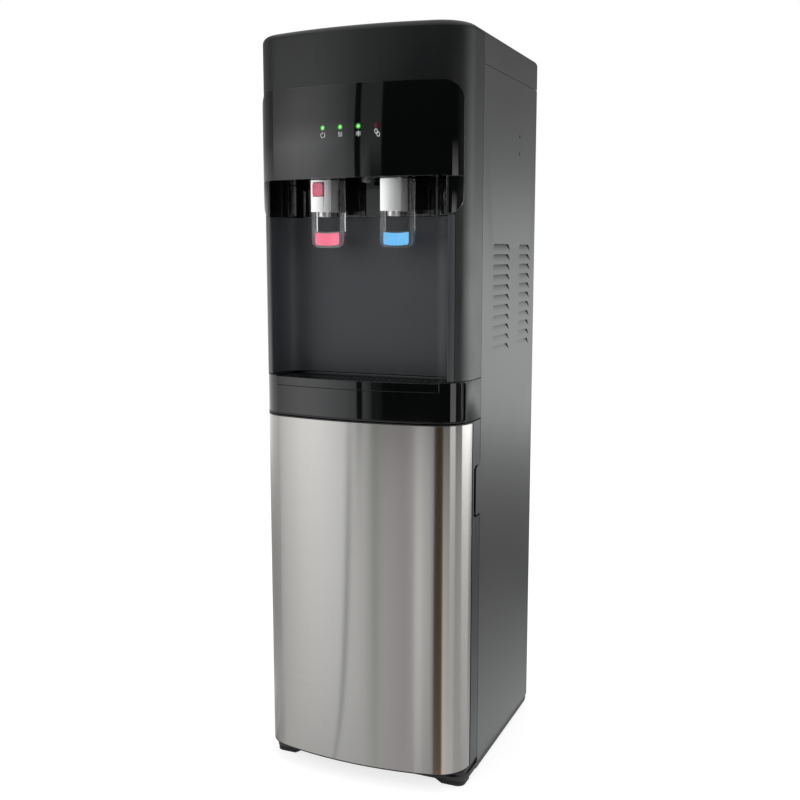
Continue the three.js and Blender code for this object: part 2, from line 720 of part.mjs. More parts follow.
function drainPlug() {
  const face = REAR_PANEL_OUTER_Y + FIT;
  const centre = [DRAIN.x, DRAIN_Z];
  const cap = cylinderY(DRAIN.radius, centre, [face, face + 10]);
  return cap.add(cylinderY(DRAIN.shank, centre, [face - 12, face + 1]));
}

add('rear_panel', rearPanel(), ZINC_STEEL);
add('power_gland', gland(), BASE_BLACK);
add('drain_plug', drainPlug(), WHITE_PLASTIC);

// ---- Top cover and front shell

function topCover() {
  const outer = topBlock(0, COVER_SEAM_Z + FIT).intersect(behind(SEAM_Y));
  return outer.subtract(topBlock(THIN_MOULDING, COVER_SEAM_Z - 20));
}

// Hole in the front shell behind the hood and round the alcove.
function shellOpening() {
  const half = FACE_HALF - HOOD_LAP;
  const corner = HOOD_CORNER - HOOD_LAP;
  const z = [HOUSING_BOTTOM_Z + HOOD_LAP, HOOD_TOP_Z - HOOD_LAP];
  const outline = roundedOutline([-half, half], z, [corner, corner, corner, corner]);
  const window = prismY(outline, [-FAR, ALCOVE_BACK_Y]);
  const alcove = box([-FLANGE_OUTER, FLANGE_OUTER], [-FAR, ALCOVE_BACK_Y], [0, HOUSING_BOTTOM_Z + FIT]);
  const housing = alcoveSpace(THIN_MOULDING + FIT, [HOUSING_BOTTOM_Z, HOOD_BOTTOM_Z]);
  return join([window, alcove, housing]);
}

function frontShell() {
  const outer = topBlock(0, SHELL_BOTTOM_Z).intersect(before(MOULDING_REAR_Y));
  return outer.subtract(topBlock(MOULDING, SHELL_BOTTOM_Z - 20)).subtract(shellOpening());
}

add('top_cover', topCover(), PANEL_PAINT);
add('front_shell', frontShell(), SATIN_BLACK);

// ---- Hood panel with its lamps

function lampXs() {
  return LAMP_NAMES.map((_, i) => LAMP_FIRST_X + i * LAMP_PITCH);
}

function hoodPanel() {
  const z = [HOOD_BOTTOM_Z, HOOD_TOP_Z];
  const outline = roundedOutline([-FACE_HALF, FACE_HALF], z, [0, 0, HOOD_CORNER, HOOD_CORNER]);
  const panel = band(-HOOD_PROUD, -FIT, z).intersect(prismY(outline, [-FAR, SEAM_Y]));
  const postY = [bowY(POST_X) - 1, BOARD_Y - FIT];
  const posts = [-1, 1].map((sign) => (
    cylinderY(POST_RADIUS, [sign * POST_X, LAMP_Z + POST_ABOVE_LAMPS], postY, 10)));
  const holes = lampXs().map((x) => cylinderY(LAMP_RADIUS + FIT, [x, LAMP_Z], [-FAR, BOARD_Y], 16));
  return join([panel, ...posts]).subtract(join(holes));
}

function lamp(x) {
  return cylinderY(LAMP_RADIUS, [0, LAMP_Z], [bowY(x, HOOD_PROUD) - FIT / 2, BOARD_Y - FIT], 16);
}

function indicatorBoard() {
  const z = [LAMP_Z - BOARD_BELOW_LAMPS, LAMP_Z + BOARD_ABOVE_LAMPS];
  return box([-BOARD_HALF, BOARD_HALF], [BOARD_Y, BOARD_Y + BOARD_THICKNESS], z);
}

add('hood_panel', hoodPanel(), GLOSS_BLACK);
add('indicator_board', indicatorBoard(), BOARD_GREEN);
LAMP_NAMES.forEach((name, i) => {
  const x = lampXs()[i];
  add(name, lamp(x), { color: LAMP_COLOURS[i], roughness: 0.2, metalness: 0 }, [x, 0, 0]);
});

// ---- Alcove and tap housing

// The alcove's hollow seen from above: open at the front, with round corners at the back.
function alcoveSpace(margin, z) {
  const half = ALCOVE_HALF + margin;
  const corner = ALCOVE_CORNER + margin;
  const outline = roundedOutline([-half, half], [-FAR, ALCOVE_BACK_Y + margin], [0, 0, corner, corner], 7);
  return prismZ(outline, z);
}

function alcoveLiner() {
  const z = [SHELL_BOTTOM_Z, HOUSING_BOTTOM_Z - FIT];
  const walls = alcoveSpace(THIN_MOULDING, z).intersect(plan(0, z));
  const edge = FLANGE_OUTER - FIT;
  const flanges = band(0, THIN_MOULDING, z).intersect(box([-edge, edge], [-FAR, SEAM_Y], z));
  return walls.add(flanges).subtract(alcoveSpace(0, [z[0] - 1, z[1] + 1]));
}

// Recess walls and ceiling over the taps, with the two legs that frame them on the front.
function tapHousing() {
  const wallZ = [HOUSING_BOTTOM_Z + FIT, CEILING_Z];
  const roofZ = [CEILING_Z - 0.1, CEILING_Z + THIN_MOULDING];
  const legZ = [HOUSING_BOTTOM_Z, CEILING_Z];
  const walls = alcoveSpace(THIN_MOULDING, wallZ).intersect(plan(-HOOD_PROUD, wallZ));
  const roof = alcoveSpace(THIN_MOULDING, roofZ).intersect(plan(FIT, roofZ));
  const outline = roundedOutline([-FACE_HALF, FACE_HALF], legZ, [HOOD_CORNER, HOOD_CORNER, 0, 0]);
  const legs = band(-HOOD_PROUD, -FIT, legZ).intersect(prismY(outline, [-FAR, SEAM_Y]));
  const inlets = [-1, 1].map((sign) => (
    cylinderZ(INLET_RADIUS + FIT, [sign * TAP_X, TAP_Y], [CEILING_Z - 1, HEIGHT])));
  return join([walls, roof, legs])
    .subtract(alcoveSpace(0, [HOUSING_BOTTOM_Z - 1, CEILING_Z]))
    .subtract(join(inlets));
}

function nightLightLens() {
  const top = CEILING_Z - FIT;
  return turned([[0, top - 3.6], [4.5, top - 3], [7, top - 0.8], [7, top], [0, top]], [0, 0], 20);
}

add('alcove_liner', alcoveLiner(), SATIN_BLACK);
add('tap_housing', tapHousing(), GLOSS_BLACK);
add('night_light_lens', nightLightLens(), WHITE_PLASTIC, [0, ALCOVE_BACK_Y - NIGHT_LIGHT_FORWARD, 0]);

// ---- Taps: each is built about its own vertical centre line

function tapBody(withLock) {
  const half = TAP_WIDTH / 2;
  const deep = TAP_DEPTH / 2;
  const top = CEILING_Z - FIT;
  const outline = roundedOutline([-half, half], [-deep, deep], [4, 4, 4, 4], 3);
  const inlet = cylinderZ(INLET_RADIUS, [0, 0], [top - 1, INLET_TOP_Z], 20);
  const sockets = leverPins(LEVER_PIN_RADIUS + FIT, [half - LEVER_PIN_DEPTH - FIT, half + 1]);
  const waterway = cylinderZ(NOZZLE_BORE, [0, 0], [TAP_BOTTOM_Z - 1, TAP_BOTTOM_Z + 12], 16);
  const cuts = [...sockets, waterway];
  if (withLock) {
    cuts.push(lockSpace());
  }
  return prismZ(outline, [TAP_BOTTOM_Z, top]).add(inlet).subtract(join(cuts));
}

// The pair of pins on the lever's axis, or the holes for them.
function leverPins(radius, [x0, x1]) {
  const axis = [LEVER_AXIS_Y, LEVER_AXIS_Z];
  return [[x0, x1], [-x1, -x0]].map((x) => cylinderX(radius, axis, x, 12));
}

// Pocket in the tap's front face for the button and its stroke.
function lockSpace() {
  const halfWidth = LOCK_WIDTH / 2 + FIT;
  const halfHeight = LOCK_HEIGHT / 2 + FIT;
  const front = -TAP_DEPTH / 2;
  const reach = [front - 1, front - LOCK_PROUD + LOCK_LENGTH + LOCK_STROKE + 2 * FIT];
  const z = [LOCK_Z - halfHeight, LOCK_Z + halfHeight];
  return box([LOCK_X - halfWidth, LOCK_X + halfWidth], reach, z);
}

function lockButton() {
  const front = -TAP_DEPTH / 2 - LOCK_PROUD;
  const across = [LOCK_X - LOCK_WIDTH / 2, LOCK_X + LOCK_WIDTH / 2];
  const upright = [LOCK_Z - LOCK_HEIGHT / 2, LOCK_Z + LOCK_HEIGHT / 2];
  const block = prismY(roundedOutline(across, upright, [3, 3, 3, 3], 3), [front, front + LOCK_LENGTH]);
  const within = ([low, high]) => [low + LOCK_RIM, high - LOCK_RIM];
  const dish = roundedOutline(within(across), within(upright), [2, 2, 2, 2], 2);
  return block.subtract(prismY(dish, [front - 1, front + 0.8]));
}

function nozzle() {
  const top = TAP_BOTTOM_Z - FIT;
  const profile = [
    [NOZZLE_BORE, NOZZLE_BOTTOM_Z],
    [NOZZLE_RADIUS - 1, NOZZLE_BOTTOM_Z],
    [NOZZLE_RADIUS, NOZZLE_BOTTOM_Z + 1],
    [NOZZLE_RADIUS, top],
    [NOZZLE_BORE, top],
    [NOZZLE_BORE, NOZZLE_BOTTOM_Z],
  ];
  return turned(profile, [0, 0], 24);
}

// A U of clear plastic hung on two pins, which a cup pushes backwards.
function lever() {
  const inner = LEVER_HALF - LEVER_ARM;
  const y = [LEVER_AXIS_Y - LEVER_THICKNESS / 2, LEVER_AXIS_Y + LEVER_THICKNESS / 2];
  const z = [LEVER_BOTTOM_Z, LEVER_TOP_Z];
  const loop = prismY(roundedOutline([-LEVER_HALF, LEVER_HALF], z, [9, 9, 3, 3], 4), y);
  const open = roundedOutline([-inner, inner], [LEVER_BOTTOM_Z + LEVER_FOOT, HEIGHT], [5, 5, 0, 0], 3);
  const gap = prismY(open, [y[0] - 1, y[1] + 1]);
  const pins = leverPins(LEVER_PIN_RADIUS, [TAP_WIDTH / 2 - LEVER_PIN_DEPTH, inner + 1]);
  return join([loop.subtract(gap), ...pins]);
}

function leverPad() {
  const half = LEVER_HALF - LEVER_ARM - FIT;
  const bottom = LEVER_BOTTOM_Z + LEVER_FOOT + FIT;
  const outline = roundedOutline([-half, half], [bottom, bottom + PAD_HEIGHT], [5, 5, 3, 3], 3);
  const deep = LEVER_THICKNESS / 2 + 1;
  return prismY(outline, [LEVER_AXIS_Y - deep, LEVER_AXIS_Y + deep]);
}

const TAPS = [
  { name: 'hot', x: -TAP_X, pad: RED_PAD, lock: true },
  { name: 'cold', x: TAP_X, pad: BLUE_PAD, lock: false },
];
TAPS.forEach((tap) => {
  const centre = [tap.x, TAP_Y, 0];
  add(`${tap.name}_tap_body`, tapBody(tap.lock), SILVER, centre);
  add(`${tap.name}_nozzle`, nozzle(), WHITE_PLASTIC, centre);
  add(`${tap.name}_lever`, lever(), CLEAR, centre);
  add(`${tap.name}_pad`, leverPad(), tap.pad, centre);
});
add('child_lock_button', lockButton(), RED_PAD, [-TAP_X, TAP_Y, 0]);

// ---- Apron, drip tray and grille

function apronPanelOutline(margin) {
  const half = FACE_HALF + margin;
  const bottom = APRON_BOTTOM_Z + APRON_PANEL_MARGIN - margin;
  const top = APRON_TOP_Z - APRON_PANEL_MARGIN / 2 + margin;
  return roundedOutline([-half, half], [bottom, top], [3, 3, 3, 3], 3);
}

function apronFrame() {
  const z = [APRON_BOTTOM_Z, APRON_TOP_Z];
  const block = plan(0, z, MOULDING_REAR_Y);
  const pocketHalf = TRAY_HALF + FIT;
  const pocket = box([-pocketHalf, pocketHalf], [-FAR, TRAY_BACK_Y + FIT], [TRAY_BOTTOM_Z - FIT, HEIGHT]);
  const hollow = plan(MOULDING + 1, [z[0] + APRON_FLOOR, APRON_SHELF_Z], SEAM_Y + 10);
  const hinge = [HINGE_X, HINGE_Y];
  const boreZ = [z[0] - 1, z[0] + HINGE_BOSS_HEIGHT + FIT];
  const boss = cylinderZ(HINGE_BOSS, hinge, [z[0], APRON_SHELF_Z + 1], 20);
  const bore = cylinderZ(HINGE_PIN_RADIUS + FIT, hinge, boreZ, 20);
  const seatFace = prismY(apronPanelOutline(FIT), [-FAR, SEAM_Y]);
  const seat = band(-1, APRON_PANEL_THICKNESS + FIT, z).intersect(seatFace);
  return block.subtract(hollow).add(boss.intersect(block)).subtract(join([pocket, bore, seat]));
}

function apronPanel() {
  const z = [APRON_BOTTOM_Z, APRON_TOP_Z];
  const half = TRAY_HALF + FIT;
  const notch = box([-half, half], [-FAR, SEAM_Y], [TRAY_BOTTOM_Z - FIT, HEIGHT]);
  const face = prismY(apronPanelOutline(0), [-FAR, SEAM_Y]);
  return band(0, APRON_PANEL_THICKNESS, z).intersect(face).subtract(notch);
}

function dripTray() {
  const z = [TRAY_BOTTOM_Z, TRAY_TOP_Z];
  const block = plan(-TRAY_PROUD, z).intersect(box([-TRAY_HALF, TRAY_HALF], [-FAR, TRAY_BACK_Y], z));
  const inner = TRAY_HALF - TRAY_WALL;
  const basin = plan(MOULDING, [z[0] + TRAY_WALL, HEIGHT])
    .intersect(box([-inner, inner], [-FAR, TRAY_BACK_Y - TRAY_WALL], [z[0], HEIGHT]));
  const ledgeZ = [z[0] + 1, z[1] - GRILLE_THICKNESS - 2 * FIT];
  const ledges = [-1, 1].map((sign) => (
    sideBox(sign, [inner - 3, inner + 1], [TAP_Y - 5, TRAY_BACK_Y - 1], ledgeZ)));
  return join([block.subtract(basin), ...ledges]);
}

function dripGrille() {
  const half = TRAY_HALF - TRAY_WALL - FIT;
  const top = TRAY_TOP_Z - FIT;
  const z = [top - GRILLE_THICKNESS, top];
  const back = TRAY_BACK_Y - TRAY_WALL - FIT;
  const plate = plan(MOULDING + FIT, z)
    .intersect(box([-half, half], [-FAR, back], z))
    .intersect(alcoveSpace(-SEAM, z));
  const columns = Math.floor((2 * (half - GRILLE_MARGIN)) / GRILLE_PITCH);
  const slots = Array.from({ length: columns * 2 }, (_, i) => {
    const x = (Math.floor(i / 2) - (columns - 1) / 2) * GRILLE_PITCH;
    const rear = back - 6 - (i % 2) * (GRILLE_SLOT_LENGTH + 4);
    const across = [x - GRILLE_SLOT / 2, x + GRILLE_SLOT / 2];
    return box(across, [rear - GRILLE_SLOT_LENGTH, rear], [z[0] - 1, z[1] + 1]);
  });
  return plate.subtract(join(slots));
}

add('apron_frame', apronFrame(), SATIN_BLACK);
add('apron_panel', apronPanel(), GLOSS_BLACK);
add('drip_tray', dripTray(), GLOSS_BLACK);
add('drip_grille', dripGrille(), BASE_BLACK);

// ---- Door, hung on a vertical pin at its left rear corner

// The square corner behind and left of the hinge pin, less a cylinder of the given radius round the pin.
function hingeCorner(radius) {
  const z = [0, HEIGHT];
  const square = box([-HALF - 1, HINGE_X], [HINGE_Y, SEAM_Y + 20], z);
  return square.subtract(cylinderZ(radius, [HINGE_X, HINGE_Y], [-1, HEIGHT + 1], 40));
}

// Finger slot in the door's right rear edge: in behind the lip, then out along a ramp to the rear.
function gripSpace() {
  const floor = HALF - GRIP_DEPTH;
  const outline = toPoints([
    [HALF + 2, GRIP_LIP_Y],
    [HALF - 2.4, GRIP_LIP_Y],
    [HALF - 4.5, GRIP_LIP_Y - GRIP_HOOK],
    [floor, GRIP_LIP_Y - GRIP_HOOK],
    [floor, GRIP_LIP_Y + 6],
    [HALF - 4, DOOR_REAR_Y + 0.6],
    [HALF - 4, SEAM_Y + 2],
    [HALF + 2, SEAM_Y + 2],
  ]);
  return prismZ(outline, [GRIP_BOTTOM_Z, GRIP_TOP_Z]);
}

// The moulded block that the finger slot is sunk into, grown by margin.
function gripBlock(margin) {
  const wall = THIN_MOULDING - 0.4 + margin;
  const x = [HALF - GRIP_DEPTH - wall, HALF];
  const y = [GRIP_LIP_Y - GRIP_HOOK - wall, DOOR_REAR_Y + margin];
  return box(x, y, [GRIP_BOTTOM_Z - wall, GRIP_TOP_Z + wall]);
}

function doorSkin() {
  const z = [DOOR_BOTTOM_Z + DOOR_LIP + FIT, DOOR_TOP_Z - DOOR_LIP - FIT];
  return band(0, SKIN_THICKNESS, z).intersect(before(SKIN_REAR_Y));
}

function doorFrame() {
  const z = [DOOR_BOTTOM_Z, DOOR_TOP_Z];
  const behindSkin = plan(SKIN_THICKNESS + FIT, z, DOOR_REAR_Y);
  const exposed = plan(0, z, DOOR_REAR_Y).intersect(behind(SKIN_REAR_Y + FIT));
  const sillZ = [[z[0], z[0] + DOOR_LIP], [z[1] - DOOR_LIP, z[1]]];
  const sills = sillZ.map((level) => plan(0, level, DOOR_REAR_Y));
  const wall = SKIN_THICKNESS + FIT + THIN_MOULDING;
  const hollow = plan(wall, [z[0] + MOULDING, z[1] - MOULDING], SEAM_Y + 10)
    .subtract(hingeCorner(HINGE_INSET - THIN_MOULDING));
  const outer = join([behindSkin, exposed, ...sills]).subtract(hingeCorner(HINGE_INSET));
  const hinge = [HINGE_X, HINGE_Y];
  const bosses = hingeEnds(z, 0).map((level) => cylinderZ(HINGE_BOSS, hinge, level, 20));
  const bores = hingeEnds(z, 1).map((level) => cylinderZ(HINGE_PIN_RADIUS + FIT, hinge, level, 20));
  const grip = gripBlock(0).intersect(plan(0, z));
  return join([outer.subtract(hollow), ...bosses, grip]).subtract(join([...bores, gripSpace()]));
}

// Heights that the hinge takes up at the foot and head of the door, run out by margin.
function hingeEnds([bottom, top], margin) {
  return [[bottom - margin, bottom + HINGE_BOSS_HEIGHT], [top - HINGE_BOSS_HEIGHT, top + margin]];
}

// Rear face of the door with the dish that makes room for the bottle.
function doorLiner() {
  const clear = SKIN_THICKNESS + 2 * FIT + THIN_MOULDING;
  const z = [DOOR_BOTTOM_Z + MOULDING + FIT, DOOR_TOP_Z - MOULDING - FIT];
  const face = DOOR_REAR_Y - SEAM;
  const rim = box([HINGE_X + FIT, HALF - clear], [face - THIN_MOULDING, face], z);
  const dish = box([-DISH_HALF, DISH_HALF], [DISH_FRONT_Y, face], [DISH_BOTTOM_Z, DISH_TOP_Z]);
  const half = DISH_HALF - LINER_WALL;
  const insideZ = [DISH_BOTTOM_Z + LINER_WALL, DISH_TOP_Z - LINER_WALL];
  const inside = box([-half, half], [DISH_FRONT_Y + LINER_WALL, SEAM_Y], insideZ);
  const boss = cylinderZ(HINGE_BOSS + FIT, [HINGE_X, HINGE_Y], [0, HEIGHT], 20);
  return rim.add(dish).subtract(join([inside, boss, gripBlock(FIT), magnetBox(FIT)]));
}

function magnetBox(margin) {
  const half = MAGNET_WIDTH / 2 + margin;
  const rear = DOOR_REAR_Y - SEAM / 4;
  const y = [rear - MAGNET_THICKNESS - margin, rear + margin];
  return box([MAGNET_X - half, MAGNET_X + half], y, [MAGNET_LOW_Z - margin, MAGNET_HIGH_Z + margin]);
}

add('door_skin', doorSkin(), STAINLESS);
add('door_frame', doorFrame(), SATIN_BLACK);
add('door_liner', doorLiner(), BASE_BLACK);
add('door_magnet', magnetBox(0), RUBBER);

// ---- Door hinge and catch on the cabinet

// Plate on the base with a pin that stands up into the door.
function lowerHingeBracket() {
  const bottom = BASE_TOP_Z + FIT;
  const x = [-BASE_FRONT_HALF, HINGE_X + BRACKET_LENGTH];
  const plate = box(x, [HINGE_Y - BRACKET_REACH, DOOR_REAR_Y], [bottom, bottom + THIN_MOULDING]);
  const pinTop = DOOR_BOTTOM_Z + HINGE_BOSS_HEIGHT - 2 * FIT;
  return plate.add(cylinderZ(HINGE_PIN_RADIUS, [HINGE_X, HINGE_Y], [bottom + 1, pinTop], 20));
}

function upperHingePin() {
  const z = [DOOR_TOP_Z - HINGE_BOSS_HEIGHT + FIT, APRON_BOTTOM_Z + HINGE_BOSS_HEIGHT];
  return cylinderZ(HINGE_PIN_RADIUS, [0, 0], z, 20);
}

function catchPlate() {
  const half = MAGNET_WIDTH / 2 + 1;
  const y = [SEAM_Y - SEAM, SEAM_Y + FIT];
  return box([MAGNET_X - half, MAGNET_X + half], y, [MAGNET_LOW_Z, MAGNET_HIGH_Z]);
}

add('lower_hinge_bracket', lowerHingeBracket(), ZINC_STEEL);
add('upper_hinge_pin', upperHingePin(), ZINC_STEEL, [HINGE_X, HINGE_Y, 0]);
add('catch_plate', catchPlate(), ZINC_STEEL);

// ---- Bottle compartment and shelves

function compartmentLiner() {
  const front = SEAM_Y + SEAM;
  const z = [BASE_TOP_Z + FIT, DIVIDER_Z - FIT];
  const flange = box([-INSIDE_HALF, INSIDE_HALF], [front, front + LINER_WALL], z);
  const shell = box([-FACE_HALF, FACE_HALF], [front, LINER_BACK_Y], z);
  const inner = FACE_HALF - LINER_WALL;
  const spaceZ = [z[0] + LINER_WALL, z[1] - LINER_WALL];
  const space = box([-inner, inner], [SEAM_Y - 10, LINER_BACK_Y - LINER_WALL], spaceZ);
  const grommet = cylinderZ(GROMMET_RADIUS, [PROBE_X, PROBE_Y], [z[1] - 10, z[1] + 1]);
  return flange.add(shell).subtract(space).add(probeHook(inner)).subtract(grommet);
}

// A fork on the right wall that the probe's collar rests on, open towards the middle.
function probeHook(wallX) {
  const z = [HOOK_TOP_Z - HOOK_THICKNESS, HOOK_TOP_Z];
  const through = [z[0] - 1, z[1] + 1];
  const reach = COLLAR_RADIUS - 4;
  const slot = PROBE_RADIUS + 2;
  const fork = box([PROBE_X - COLLAR_RADIUS, wallX + 1], [PROBE_Y - reach, PROBE_Y + reach], z);
  const mouth = box([PROBE_X - COLLAR_RADIUS - 1, PROBE_X], [PROBE_Y - slot, PROBE_Y + slot], through);
  return fork.subtract(mouth).subtract(cylinderZ(slot, [PROBE_X, PROBE_Y], through));
}

function dividerShelf() {
  const z = [DIVIDER_Z, DIVIDER_TOP_Z];
  const rear = REAR_INNER_Y - HEAVY_SHEET - FIT;
  const grommet = cylinderZ(GROMMET_RADIUS, [PROBE_X, PROBE_Y], [z[0] - 1, z[1] + 1]);
  return box([-INSIDE_HALF, INSIDE_HALF], [SEAM_Y, rear], z).subtract(grommet);
}

// Shelf under the tanks, turned down at both sides against the side panels.
function tankShelf() {
  const y = [SEAM_Y + TANK_SHELF_SETBACK, REAR_STEP_Y - FIT];
  const z = [TANK_SHELF_Z, TANK_SHELF_TOP_Z];
  const stepZ = z.map((level) => level + TANK_SHELF_STEP);
  const half = PANEL_INNER - LOUVRE_DEPTH - SHEET;
  const plate = box([-half, half], y, z);
  const rims = [-1, 1].flatMap((sign) => [
    sideBox(sign, [half - HEAVY_SHEET, half], y, [z[0], stepZ[1]]),
    sideBox(sign, [half - 1, INSIDE_HALF], y, stepZ),
    sideBox(sign, [INSIDE_HALF - HEAVY_SHEET, INSIDE_HALF], y, [stepZ[0], z[1] + TANK_SHELF_RIM]),
  ]);
  const passage = cylinderZ(GROMMET_RADIUS, PASSAGE, [z[0] - 1, z[1] + 1]);
  return join([plate, ...rims]).subtract(passage);
}

add('compartment_liner', compartmentLiner(), BASE_BLACK);
add('divider_shelf', dividerShelf(), ZINC_STEEL);
add('tank_shelf', tankShelf(), ZINC_STEEL);

// ---- Bottle probe, pump and hoses

function bottleProbe() {
  const bottom = HOOK_TOP_Z + FIT;
  const top = bottom + COLLAR_HEIGHT;
  const profile = [
    [0, bottom],
    [COLLAR_RADIUS - 2, bottom],
    [COLLAR_RADIUS, bottom + 2],
    [COLLAR_RADIUS, top - 8],
    [PROBE_RADIUS + 2, top],
    [0, top],
  ];
  return turned(profile, [0, 0], 28).add(cylinderZ(PROBE_RADIUS, [0, 0], [PROBE_BOTTOM_Z, bottom + 2], 16));
}

// Straight hose from the collar up over the pump's nipple, which it slides along when it is lifted.
function suctionHose() {
  const bottom = HOOK_TOP_Z + FIT + COLLAR_HEIGHT + FIT;
  const body = cylinderZ(HOSE_RADIUS, [0, 0], [bottom, SUCTION_TOP_Z], 16);
  const bore = cylinderZ(HOSE_BORE, [0, 0], [SUCTION_TOP_Z - NIPPLE_LENGTH, SUCTION_TOP_Z + 1], 16);
  return body.subtract(bore);
}

function waterPump() {
  const foot = DIVIDER_TOP_Z + FIT;
  const x = [PROBE_X - PUMP_HALF - 2, PROBE_X + PUMP_HALF];
  const front = PROBE_Y - PUMP_HALF;
  const middle = (PUMP_BOTTOM_Z + PUMP_TOP_Z) / 2;
  const nipple = (place, z) => cylinderZ(NIPPLE_RADIUS, place, z, 12);
  return join([
    box(x, [front, PROBE_Y + PUMP_HALF], [PUMP_BOTTOM_Z, PUMP_TOP_Z]),
    cylinderX(MOTOR_RADIUS, [PROBE_Y, middle], [x[0] - MOTOR_LENGTH, x[0] + 1], 20),
    box(x, [front - 4, front + 1], [foot, PUMP_TOP_Z]),
    box(x, [front - PUMP_FOOT_LENGTH, front], [foot, foot + MOULDING]),
    nipple([PROBE_X, PROBE_Y], [PUMP_BOTTOM_Z - NIPPLE_LENGTH, PUMP_BOTTOM_Z + 1]),
    nipple([PROBE_X - PUMP_OUTLET_OFFSET, PROBE_Y], [PUMP_TOP_Z - 1, PUMP_TOP_Z + PUMP_OUTLET_HEIGHT]),
  ]);
}

function deliveryHose() {
  const [startX, startY, startZ] = [PROBE_X - PUMP_OUTLET_OFFSET, PROBE_Y, PUMP_TOP_Z + PUMP_OUTLET_HEIGHT];
  const [endX, endY, endZ] = [COLD_TANK.x, COLD_NIPPLE_Y, nippleTop(COLD_TANK)];
  const [passX, passY] = PASSAGE;
  return hose([
    [startX, startY, startZ + FIT],
    [startX, startY, startZ + 18],
    [startX - 40, startY + 8, startZ + 64],
    [passX + 4, passY, TANK_SHELF_Z - 15],
    [passX, passY, TANK_SHELF_Z + 20],
    [passX, passY, endZ - 82],
    [passX + 16, passY - 14, endZ - 12],
    [endX - 18, endY + 18, endZ + 24],
    [endX, endY + 1, endZ + 15],
    [endX, endY, endZ + 5],
    [endX, endY, endZ],
  ], 30);
}

function hotHose() {
  const [endX, endY, endZ] = [HOT_TANK.x, HOT_NIPPLE_Y, nippleTop(HOT_TANK)];
  return hose([
    [-TAP_X, TAP_Y, INLET_TOP_Z + FIT],
    [-TAP_X, TAP_Y + 1, INLET_TOP_Z + 20],
    [-TAP_X - 4.5, TAP_Y + 23, INLET_TOP_Z + 53],
    [endX + 10, endY - 80, endZ + 12.6],
    [endX, endY - 22, endZ + 27.6],
    [endX, endY - 1, endZ + 14],
    [endX, endY, endZ + 5],
    [endX, endY, endZ],
  ]);
}

function coldHose() {
  const [startX, startY, startZ] = [COLD_TANK.x, COLD_OUTLET_Y, COLD_OUTLET_Z];
  return hose([
    [TAP_X, TAP_Y, INLET_TOP_Z + FIT],
    [TAP_X, TAP_Y + 1, INLET_TOP_Z + 14],
    [TAP_X + 4.5, TAP_Y + 27, INLET_TOP_Z + 36],
    [startX - 6, startY - 66, startZ + 95],
    [startX, startY - 36, startZ + 45],
    [startX, startY - 22, startZ + 3],
    [startX, startY - 6, startZ],
    [startX, startY - FIT, startZ],
  ]);
}

// Level at which a hose meets the nipple on a tank's top.
function nippleTop({ headroom }) {
  return HEIGHT - headroom + TANK_NIPPLE + FIT;
}

add('bottle_probe', bottleProbe(), WHITE_PLASTIC, [PROBE_X, PROBE_Y, 0]);
add('suction_hose', suctionHose(), SILICONE, [PROBE_X, PROBE_Y, 0]);
add('water_pump', waterPump(), BASE_BLACK);
add('delivery_hose', deliveryHose(), SILICONE);
add('hot_hose', hotHose(), SILICONE);
add('cold_hose', coldHose(), SILICONE);

// ---- Tanks, compressor and condenser

// A thin vessel with coned ends, open through the nipple on its top.
function tank({ x, y, radius, headroom }, nippleY) {
  const top = HEIGHT - headroom;
  const nipple = cylinderZ(HOSE_RADIUS, [x, nippleY], [top - 6, top + TANK_NIPPLE], 12);
  const bore = cylinderZ(HOSE_BORE, [x, nippleY], [top - 8, top + TANK_NIPPLE + 1], 12);
  const shell = vessel(x, y, radius, [TANK_SHELF_TOP_Z + FIT, top]);
  const space = vessel(x, y, radius - TANK_WALL, [TANK_SHELF_TOP_Z + FIT + TANK_WALL, top - TANK_WALL]);
  return shell.add(nipple).subtract(space.add(bore));
}

function vessel(x, y, radius, [bottom, top]) {
  const profile = [
    [0, bottom],
    [radius - TANK_EDGE, bottom],
    [radius, bottom + TANK_EDGE],
    [radius, top - TANK_EDGE],
    [radius - TANK_EDGE, top],
    [0, top],
  ];
  return turned(profile, [x, y], TANK_SIDES);
}

function coldTank() {
  const { x, y, radius } = COLD_TANK;
  const reach = [COLD_OUTLET_Y, y - radius + TANK_WALL / 2];
  const outlet = cylinderY(HOSE_RADIUS, [x, COLD_OUTLET_Z], reach, 12);
  return tank(COLD_TANK, COLD_NIPPLE_Y).add(outlet);
}

// Tube wound round the cold tank, as one ribbed sleeve.
function evaporatorCoil() {
  const inner = COLD_TANK.radius + FIT;
  const valley = inner + 1.5;
  const crest = inner + 5;
  const bottom = EVAPORATOR_BOTTOM_Z;
  const ribs = Array.from({ length: EVAPORATOR_TURNS }, (_, i) => {
    const z = bottom + i * EVAPORATOR_PITCH;
    return [[valley, z], [crest, z + 2.5], [crest, z + 6.5], [valley, z + 9]];
  }).flat();
  const top = bottom + EVAPORATOR_TURNS * EVAPORATOR_PITCH;
  const profile = [[inner, bottom], ...ribs, [valley, top], [inner, top], [inner, bottom]];
  return turned(profile, [COLD_TANK.x, COLD_TANK.y], TANK_SIDES);
}

function compressor() {
  const { x, y, radius, height } = COMPRESSOR;
  const foot = DIVIDER_TOP_Z + FIT;
  const low = foot + COMPRESSOR_FOOT;
  const top = low + height;
  const profile = [
    [0, low - 1],
    [radius - 22, low - 1],
    [radius - 6, low + 12],
    [radius, low + 34],
    [radius, top - 48],
    [radius - 8, top - 20],
    [radius - 26, top - 4],
    [0, top],
  ];
  const [halfWidth, halfDepth] = COMPRESSOR_FOOT_HALF;
  const plate = box([x - halfWidth, x + halfWidth], [y - halfDepth, y + halfDepth], [foot, low]);
  return turned(profile, [x, y], 28).add(plate);
}

